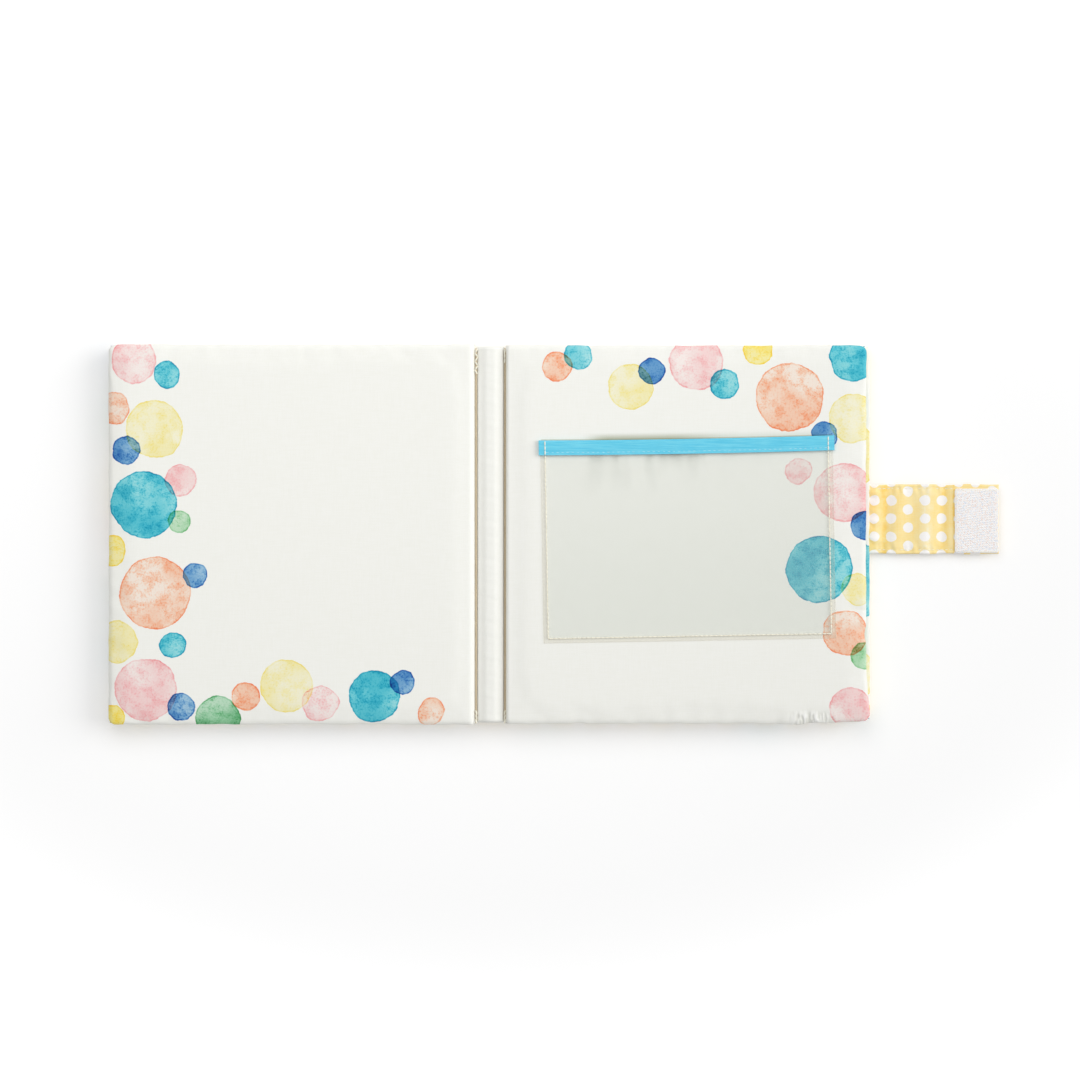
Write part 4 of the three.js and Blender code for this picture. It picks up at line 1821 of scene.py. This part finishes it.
@dataclass
class Strap:
    """The doubled dotted strap, its hook tape, and the loop tape that it closes on."""

    FOLDS = (
        (226.0, 3.6, -1.2),
        (233.0, 3.6, 0.35),
        (240.0, 5.0, -0.35),
        (249.4, 4.6, 0.9),
        (259.6, 3.4, -1.2),
    )

    width: float = 39.9 * MM
    centre: float = 8.85 * MM
    thickness: float = 2 * MM
    hem: float = 2.4 * MM
    lap: float = 0.2 * MM
    spread: float = 5 * MM
    hem_step: float = 5 * MM
    fold_lean: float = 1.2 * MM
    table_gap: float = 0.3 * MM
    tape_edge: float = 0.35 * MM
    tape_base: float = 0.6 * MM
    hook_pitch: float = 1.35 * MM
    hook_inset: float = 1.5 * MM
    hook_lean: float = 0.35 * MM
    tight_end: float = 8.0

    def build(self) -> None:
        """Makes and dresses the strap's pieces."""
        middle_low, middle_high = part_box("strap_middle")
        tip_low, tip_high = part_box("strap_tip")
        tab_low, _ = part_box("strap_seam_tab")
        self.base = (tip_low.z + tip_high.z - self.thickness) / 2
        first, second = middle_low.x, middle_high.x
        half_way = (first + second) / 2
        near = self._stretch("strap_near_length", tab_low.x, half_way + self.lap, self.tight_end)
        far = self._stretch("strap_far_length", half_way - self.lap, tip_high.x, 1.0)
        near_hems = self._hem_stitches("strap_near_stitches", first + 0.6 * MM, half_way)
        tape_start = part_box("strap_hook_patch")[0].x
        far_hems = self._hem_stitches("strap_far_stitches", half_way, tape_start - 0.8 * MM)
        Bench.finish(near, Finishes.strap, Slot.DOTTED, "strap_seam_tab", "strap_middle")
        Bench.finish(far, Finishes.strap, Slot.DOTTED, "strap_tip")
        for piece in (near, near_hems):
            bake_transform(piece)
        for piece in (far, far_hems):
            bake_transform(piece)
        self._hook_tape()
        self._loop_tape()

    def _hem_stitches(self, name: str, start: float, end: float) -> Piece:
        """Sews a length of the strap along both hems, following its wrinkles.

        Args:
            name: The piece's name.
            start: Where the rows start along X.
            end: Where they end.

        Returns:
            The stitches.
        """
        run = StitchRun(name, 1.9 * MM, 2.5 * MM, width=0.45 * MM)
        places = np.linspace(start, end, max(1, round((end - start) / self.hem_step)) + 1)
        for sign in (-1, 1):
            y = self.centre + sign * (self.width / 2 - self.hem)
            heights = self.base + self.thickness - 0.2 * MM + self.height(places, np.full_like(places, y))
            spots = [Vector((x, y, z)) for x, z in zip(places, heights)]
            for near, far in zip(spots, spots[1:]):
                run.row(near, far)
        return run.sewn(Finishes.thread)

    def height(self, x: np.ndarray, y: np.ndarray) -> np.ndarray:
        """Gives the wrinkles of the strap's cloth: soft folds across it, puckers along its hems.

        Args:
            x: Distances from the spine's middle.
            y: Distances from the album's middle.

        Returns:
            How far the cloth stands up or down there.
        """
        across = (y - self.centre) / (self.width / 2)
        total = np.zeros_like(x)
        for place, reach, depth in self.FOLDS:
            away = x - (place * MM + self.fold_lean * across)
            total += depth * MM * hump(away, reach * MM) * (1 - 0.35 * across**4)
        rim = hump(np.abs(across) - 0.84, 0.14)
        total += 0.26 * MM * rim * waves(x + 0.2 * y, (3.7 * MM, 5.3 * MM, 8.1 * MM), 21)
        sewn = np.exp(-np.maximum(x - 218 * MM, 0) / (4 * MM))
        total += 0.5 * MM * sewn * waves(y + 0.15 * x, (5.3 * MM, 8.7 * MM, 12.9 * MM), 33)
        at_tip = 1 + np.exp((x - 262 * MM) / (1.6 * MM))
        at_seam = 1 + np.exp((217.6 * MM - x) / (0.8 * MM))
        return total / at_tip / at_seam

    @staticmethod
    def _layer(x: Run, half: float, z: Sequence[float], corner: float, edge: float, **more: float) -> PadForm:
        """Sizes a flat closed piece from its reach along X, half its width and its three heights."""
        rounds = {"corner": corner, "near_corner": corner, "upper_round": edge, "lower_round": edge}
        return PadForm(1, *x, half, *z, crown=0.0, pinch=0.0, **rounds, **more)

    def _stretch(self, name: str, start: float, end: float, tight_far: float) -> Piece:
        """Makes one length of the strap: two layers of cloth with rounded hems and a stitched line.

        Args:
            name: The piece's name.
            start: Where it starts along X.
            end: Where it ends.
            tight_far: How many times tighter its end is rounded than its hems.

        Returns:
            The closed piece.
        """
        half, edge = self.width / 2, self.thickness / 2
        heights = (self.base, self.base + edge, self.base + self.thickness)
        ends = {"tight_near": self.tight_end, "tight_far": tight_far, "draw_in": 0.0}
        cells = {"shoulder": 4 * MM, "step": 1.0 * MM, "edge_steps": 4}
        form = self._layer((start, end), half, heights, 0.1 * MM, edge, **ends, **cells)
        strap = form.pillow(name)
        points = Bench.points(strap)
        x, y = points[:, 0], points[:, 1]
        inset = half - np.abs(y)
        way = np.sign(points[:, 2] - form.seam)
        points[:, 2] -= way * 0.38 * MM * hump(inset - self.hem, 0.7 * MM)
        points[:, 2] += self.height(x, y + self.centre)
        uneven = 0.25 * MM * waves(x, (21 * MM, 34 * MM), 4) * np.sign(y) * np.exp(-inset / (6 * MM))
        points[:, 1] += self.centre + uneven
        points[:, 2] = np.maximum(points[:, 2], self.table_gap)
        Bench.move_points(strap, points)
        Bench.apply(strap, "SUBSURF", levels=1, render_levels=1)
        Bench.smooth(strap)
        return strap

    def _tape(self, name: str, low: Vector, high: Vector) -> Piece:
        """Makes the woven base of a piece of tape with soft edges and clipped corners.

        Args:
            name: The piece's name.
            low: Its lowest corner.
            high: Its highest corner.

        Returns:
            The closed piece.
        """
        heights = (low.z, (low.z + high.z) / 2, high.z)
        sizes = {"draw_in": 0.15 * MM, "shoulder": 3 * MM, "step": 1.2 * MM, "edge_steps": 2}
        half = (high.y - low.y) / 2
        tape = self._layer((low.x, high.x), half, heights, 1.5 * MM, self.tape_edge, **sizes).pillow(name)
        points = Bench.points(tape)
        points[:, 1] += (low.y + high.y) / 2
        Bench.move_points(tape, points)
        Bench.smooth(tape)
        return tape

    def _hooks(self, low: Vector, high: Vector, base_top: float) -> Piece:
        """Makes rows of tiny leaning hooks.

        Args:
            low: The tape's lowest corner.
            high: Its highest corner.
            base_top: How high its woven base reaches.

        Returns:
            The hooks.
        """
        pitch = self.hook_pitch
        columns = int((high.x - low.x - 2 * self.hook_inset) / pitch)
        rows = int((high.y - low.y - 2 * self.hook_inset) / pitch)
        Bench.select()
        bpy.ops.mesh.primitive_cone_add(vertices=5, radius1=0.32 * MM, radius2=0.2 * MM, depth=0.7 * MM)
        hooks = Bench.called(bpy.context.object, "strap_hooks")
        points = Bench.points(hooks)
        points[:, 0] += np.where(points[:, 2] > 0, self.hook_lean, 0)
        Bench.move_points(hooks, points)
        Bench.repeat(hooks, columns, (pitch, pitch * 0.12, 0))
        Bench.repeat(hooks, rows, (0, pitch, 0))
        points = Bench.points(hooks)
        middle = ((low.x + high.x) / 2, (low.y + high.y) / 2, base_top + 0.28 * MM)
        points += np.array(middle) - (points.max(0) + points.min(0)) / 2
        Bench.move_points(hooks, points)
        Bench.smooth(hooks)
        return hooks

    def _hook_tape(self) -> None:
        """Makes the hook tape: its woven base, its rows of tiny hooks and its stitches."""
        low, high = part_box("strap_hook_patch")
        base_top = low.z + self.tape_base
        tape = self._tape("strap_hook_tape", low, Vector((high.x, high.y, base_top)))
        hooks = self._hooks(low, high, base_top)
        cloth = Tape("hook_tape_cloth", colour("fffdfb"), 0.08, 0.75, 1.1)
        nylon = Tape("hook_nylon", colour("fffefd"), 0.05, 0.5, 1.1)
        Bench.finish(tape, cloth.material(), Slot.TAPE, "strap_hook_patch")
        Bench.finish(hooks, nylon.material(), Slot.TAPE)
        stitches = self._edge_stitches("hook_tape_stitches", low, high, base_top, 1.0 * MM, 1)
        for piece in (tape, hooks, stitches):
            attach(piece, "strap_end")

    def _loop_tape(self) -> None:
        """Makes the loop tape on the outside of the front cover, with its stitches."""
        low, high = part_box("closure_loop_patch")
        tape = self._tape("closure_loop_tape", low, high)
        points = Bench.points(tape)
        bottom = points[:, 2] < (low.z + high.z) / 2
        fluff = waves(points[:, 0] * 1.3 + points[:, 1], (2.9 * MM, 4.3 * MM), 31)
        points[:, 2] += np.where(bottom, 0.08 * MM * (fluff + 1), 0)
        Bench.move_points(tape, points)
        cloth = Tape("loop_tape_cloth", colour("f4f1ee"), 0.6)
        Bench.finish(tape, cloth.material(), Slot.TAPE, "closure_loop_patch")
        stitches = self._edge_stitches("loop_tape_stitches", low, high, low.z, 1.4 * MM, -1)
        for piece in (tape, stitches):
            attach(piece, "front_cover")

    @staticmethod
    def _edge_stitches(name: str, low: Vector, high: Vector, z: float, inset: float, way: int) -> Piece:
        """Sews a tape down all round, a little in from its edge.

        Args:
            name: The piece's name.
            low: The tape's lowest corner.
            high: Its highest corner.
            z: How high the stitches lie.
            inset: How far in from the edge.
            way: 1 for stitches on its upper side, -1 for its underside.

        Returns:
            The stitches.
        """
        run = StitchRun(name, width=0.35 * MM)
        left, right = low.x + inset, high.x - inset
        foot, head = low.y + inset, high.y - inset
        turns = ((left, foot), (right, foot), (right, head), (left, head), (left, foot))
        spots = [Vector((x, y, z)) for x, y in turns]
        for start, end in zip(spots, spots[1:]):
            run.row(start, end, Vector((0, 0, way)))
        return run.sewn(Finishes.thread)


class Album:
    """The whole album: spine, covers, leaves, pockets and strap."""

    THIN = 1.9 / 7
    SIDES = {-1: "left", 1: "right"}
    COVER_END = 16 * MM
    LEAF_END = 13.5 * MM
    GATHERS = (
        Gather(178 * MM, -108 * MM, 20 * MM, 3.5),
        Gather(213 * MM, -54 * MM, 5 * MM, 5.0),
        Gather(60 * MM, -108 * MM, 14 * MM, 1.2),
    )
    FITS = {
        "back_cover": (1.5 * MM, 0.3 * MM, {"foot_flare": (0.0, 2.0 * MM), "seed": 11}),
        "front_cover": (0.3 * MM, 0.3 * MM, {"seed": 23}),
        "left_leaf": (0.55 * MM, 0.7 * MM, {"thin": THIN, "taper": 3.2 * MM, "tight_near": 2.0, "seed": 37}),
        "right_leaf": (
            0.1 * MM,
            0.3 * MM,
            {
                "taper": 1.3 * MM,
                "thin": THIN,
                "tight_near": 4.2,
                "foot_flare": (2.3 * MM, 2.0 * MM),
                "gathers": GATHERS,
                "seed": 41,
            },
        ),
    }

    def __init__(self) -> None:
        """Works out the panels' forms from the CAD pieces."""
        self.back_cover = self._panel("back_cover", 1, "inner", "outer")
        self.front_cover = self._panel("front_cover", -1, "inner", "outer")
        self.left_leaf = self._panel("left_leaf", -1, "front", "back")
        self.right_leaf = self._panel("right_leaf", 1, "front", "back")
        self.spine = self._spine()

    def _panel(self, name: str, side: int, upper: str, lower: str) -> Panel:
        """Sizes one panel from the boxes of its two cloth faces in the CAD.

        Args:
            name: The panel's name.
            side: 1 on the right of the spine, -1 on its left.
            upper: What its upper cloth is called.
            lower: What its lower cloth is called.

        Returns:
            The panel.
        """
        nodes = [f"{name}_{face}_fabric" for face in (upper, lower)]
        lows, highs = zip(*(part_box(node) for node in nodes))
        near, far = sorted((abs(min(low.x for low in lows)), abs(max(high.x for high in highs))))
        bottom, top = min(low.z for low in lows), max(high.z for high in highs)
        wider, longer, more = self.FITS[name]
        half = max(high.y for high in highs) + longer
        form = PadForm(side, near, far + wider, half, bottom, (bottom + top) / 2, top, **more)
        names = [f"{name}_{face}_cloth" for face in (upper, lower)]
        return Panel(name, form, *nodes, f"{name}_foam", *names)

    @staticmethod
    def _spine() -> Spine:
        """Sizes the spine: a deep channel under a low crowned strip.

        Returns:
            The spine.
        """
        strip_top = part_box("spine_gutter_strip")[1].z
        low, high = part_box("spine_outer_fabric")
        form = PadForm(
            side=1,
            near=low.x,
            far=high.x,
            half=high.y,
            bottom=low.z,
            seam=high.z,
            top=strip_top + 2.4 * MM,
            corner=0.8 * MM,
            near_corner=0.8 * MM,
            upper_round=1.4 * MM,
            lower_round=3.6 * MM,
            straight=True,
            draw_in=0.0,
            crown=1.5 * MM,
            shoulder=6.5 * MM,
            pinch=0.1 * MM,
            step=1.1 * MM,
            seed=53,
            pucker=0.0,
            scallop=0.0,
        )
        nodes = ("spine_gutter_strip", "spine_outer_fabric", "spine_foam")
        return Spine("spine", form, *nodes, "spine_gutter_cloth", "spine_outer_cloth", headroom=3.8 * MM)

    def build(self) -> None:
        """Builds the album piece by piece."""
        simulation = Simulation()
        padded = (self.back_cover, self.front_cover, self.left_leaf, self.right_leaf)
        for panel in padded:
            panel.start(simulation)
        if simulation is not None:
            simulation.run()
        for panel in padded:
            panel.cut()
            panel.fill()
        self.spine.start(None)
        self.spine.cut(self._ribbed)
        self.spine.fill()
        self._dress()
        self._hinge()
        Pocket("right_leaf", Face.UP, 1, "right_leaf", self.right_leaf.upper).build()
        Pocket("back_cover", Face.UP, 1, "back_cover", self.back_cover.upper).build()
        Pocket("left_leaf", Face.DOWN, -1, "left_leaf", self.left_leaf.lower).build()
        Strap().build()

    def _ribbed(self, points: np.ndarray) -> np.ndarray:
        """Draws the gutter strip's faint ribs, where its cloth is pulled between the stitch lines.

        Args:
            points: The spine's points.

        Returns:
            The ribbed points.
        """
        upper = points[:, 2] > self.spine.form.seam + 0.3 * MM
        fade = 1 - (points[:, 0] / self.spine.form.far) ** 2
        ribs = waves(points[:, 1] + 0.15 * points[:, 0], (4.4 * MM, 7.3 * MM, 11.9 * MM), 67)
        points[:, 2] += np.where(upper, 0.07 * MM * fade * ribs, 0)
        return points

    def _dress(self) -> None:
        """Gives each panel its finishes."""
        prints = {
            "left_page_cloth": LEFT_PRINT,
            "left_leaf_back_cloth": mirrored(RIGHT_PRINT, 2),
            "right_page_cloth": RIGHT_PRINT,
            "right_leaf_back_cloth": mirrored(LEFT_PRINT, 3),
            "back_cover_page_cloth": COVER_PRINT,
            "front_cover_page_cloth": mirrored(COVER_PRINT, 4, True),
        }
        shaded = "right_page_cloth"
        pages = [PageCloth(name, dots, name == shaded).material() for name, dots in prints.items()]
        left, left_back, right, right_back, back_cover, front_cover = pages
        dotted = (Finishes.dotted, Slot.DOTTED)
        self.left_leaf.dress(left, Slot.PAGE, left_back, Slot.PAGE)
        self.right_leaf.dress(right, Slot.PAGE, right_back, Slot.PAGE)
        self.back_cover.dress(back_cover, Slot.PAGE, *dotted)
        self.front_cover.dress(front_cover, Slot.PAGE, *dotted)
        self.spine.dress(Finishes.plain_page, Slot.PAGE, *dotted)

    def _hinge(self) -> None:
        """Bakes the panels' places into their meshes, and puts the spine's lower cloth, foam, strip halves,
        gutter threads and cords on the spine's body.
        """
        self.back_cover.blend("spine", "back_cover", self.COVER_END)
        self.front_cover.blend("spine", "front_cover", self.COVER_END)
        self.left_leaf.blend("front_cover", "left_leaf", self.LEAF_END)
        self.right_leaf.blend("back_cover", "right_leaf", self.LEAF_END)
        for piece in (self.spine.lower, self.spine.foam):
            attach(piece, "spine")
        for half, joint, side in zip(self.spine.halves, ("cover_fold", "spine_fold"), (-1, 1)):
            for piece in (half, self._gutter_threads(side), self._gutter_cord(side)):
                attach(piece, "spine")
                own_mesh(piece)

    def _gutter_cord(self, side: int) -> Piece:
        """Lays the tan piping that shows in the bottom of one gutter.

        Args:
            side: 1 for the right gutter, -1 for the left one.

        Returns:
            The piping.
        """
        run = StitchRun(f"{self.SIDES[side]}_gutter_cord", 7.5 * MM, 2.5 * MM, width=0.85 * MM)
        height = self.spine.form.top - 1.95 * MM
        x = side * (self.spine.form.far + 0.15 * MM)
        run.row(Vector((x, -105.2 * MM, height)), Vector((x, 104.4 * MM, height)))
        return run.sewn(Thread("tan_piping", colour("dccbab")).material())

    def _gutter_threads(self, side: int) -> Piece:
        """Lays the hand-sewn threads that close both ends of one stitch line.

        Args:
            side: 1 for the right gutter, -1 for the left one.

        Returns:
            The threads.
        """
        run = StitchRun(f"{self.SIDES[side]}_gutter_threads", 2.9 * MM, 2.4 * MM, width=0.9 * MM)
        height = self.spine.form.top - 1.0 * MM
        rungs = [(-106.4 + 2.5 * i, 0.6 * side) for i in range(3)]
        if side < 0:
            rungs += [(92.5 + 2.45 * i, 1.5 if i % 2 else -1.5) for i in range(6)]
        else:
            rungs += [(99.0 + 2.6 * i, 0.2) for i in range(3)]
        for y, lean in rungs:
            start = Vector((side * self.spine.form.far - lean * MM / 2, (y - 1.2) * MM, height))
            run.row(start, start + Vector((lean * MM, 2.4 * MM, 0)))
        return run.sewn(Finishes.thread)


@dataclass(frozen=True)
class Studio:
    """A plain white floor, soft even light from the upper right, and the camera straight above."""

    view_width: float = 615.6 * MM
    centre: tuple[float, float] = (28.2 * MM, -3.1 * MM)
    page_level: float = 12.5 * MM
    lens: float = 94.0
    sensor: float = 36.0
    ambient: float = 0.44
    key: float = 1.55
    key_angle: float = math.radians(42)
    top_fill: float = 3.0
    floor_size: float = 40.0
    floor_gap: float = 0.1 * MM
    lightened: tuple[float, float] = (0.2, 0.85)
    glow: float = 1.35
    clip: tuple[float, float] = (0.01, 100.0)

    def build(self) -> None:
        """Sets the floor, the light and the camera."""
        bpy.context.scene.view_settings.view_transform = "Standard"
        self._floor()
        self._world()
        key = {"energy": self.key, "angle": self.key_angle}
        self._lamp("soft_key", "SUN", (1, 1, 1.4), (-0.78, -0.17, -0.46), **key)
        fill = {"shape": "DISK", "size": 0.9, "energy": self.top_fill}
        self._lamp("head_fill", "AREA", (-0.05, 0.42, 0.76), (0.05, -0.42, -0.76), **fill)
        self._camera()

    @staticmethod
    def _seen(shader: Shader) -> Value:
        """Finds the rays that show the background: the camera's, reflected and let through.

        Args:
            shader: The material's or world's shader.

        Returns:
            1 for such a ray, 0 for another.
        """
        path = shader.add("ShaderNodeLightPath")
        seen = shader.value(path, "Is Camera Ray").most(shader.value(path, "Is Glossy Ray"))
        return seen.most(shader.value(path, "Is Transmission Ray"))

    def _floor(self) -> None:
        """Lays the white floor, which keeps the album's shadow."""
        Bench.select()
        bpy.ops.mesh.primitive_plane_add(size=self.floor_size, location=(0, 0, -self.floor_gap))
        floor = bpy.context.object
        floor.name = "studio_floor"
        shader = Shader("white_floor")
        diffuse = shader.add("ShaderNodeBsdfDiffuse", {}, {"Color": (0.97, 0.97, 0.97)})
        glow = shader.add("ShaderNodeEmission", {}, {"Color": (1.0, 1.0, 1.0), "Strength": self.glow})
        away = shader.distance(shader.stretched(shader.object_place(), 1.0, 1.6, 0.0), (0.0, 0.0, 0.0))
        share = self._seen(shader) * away.ease(320.0, 640.0, *self.lightened)
        mixed = shader.add("ShaderNodeMixShader", {}, {0: share, 1: diffuse.outputs[0], 2: glow.outputs[0]})
        shader.add("ShaderNodeOutputMaterial", {}, {"Surface": mixed.outputs[0]})
        floor.data.materials.append(shader.material)

    def _world(self) -> None:
        """Lights the scene evenly, and shows white where nothing stands."""
        world = bpy.data.worlds.new("studio_world")
        world.use_nodes = True
        bpy.context.scene.world = world
        shader = Shader("studio_world", world.node_tree)
        strength = self._seen(shader) * (1 - self.ambient) + self.ambient
        light = shader.add("ShaderNodeBackground", {}, {"Color": (1.0, 1.0, 1.0), "Strength": strength})
        shader.add("ShaderNodeOutputWorld", {}, {"Surface": light.outputs[0]})

    @staticmethod
    def _lamp(name: str, kind: str, place: Sequence[float], way: Sequence[float], **sizes: object) -> None:
        """Hangs one lamp.

        Args:
            name: Its name.
            kind: Its type.
            place: Where it hangs.
            way: Which way it shines.
            sizes: Its strength, its size and its shape, by name.
        """
        Bench.select()
        bpy.ops.object.light_add(type=kind, location=place)
        lamp = bpy.context.object
        lamp.name = name
        for key, value in sizes.items():
            setattr(lamp.data, key, value)
        lamp.rotation_mode = "QUATERNION"
        lamp.rotation_quaternion = Vector(way).to_track_quat("-Z", "Y")

    def _camera(self) -> None:
        """Puts the camera straight above the album."""
        distance = self.view_width * self.lens / self.sensor
        Bench.select()
        bpy.ops.object.camera_add(location=(*self.centre, self.page_level + distance), rotation=(0, 0, 0))
        camera = bpy.context.object
        camera.name = "camera_above"
        camera.data.lens = self.lens
        camera.data.sensor_width = self.sensor
        camera.data.clip_start, camera.data.clip_end = self.clip
        bpy.context.scene.camera = camera


def main() -> None:
    """Builds the album and its studio."""
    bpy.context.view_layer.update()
    Finishes.make()
    Album().build()
    Studio().build()


if __name__ == "__main__":
    main()
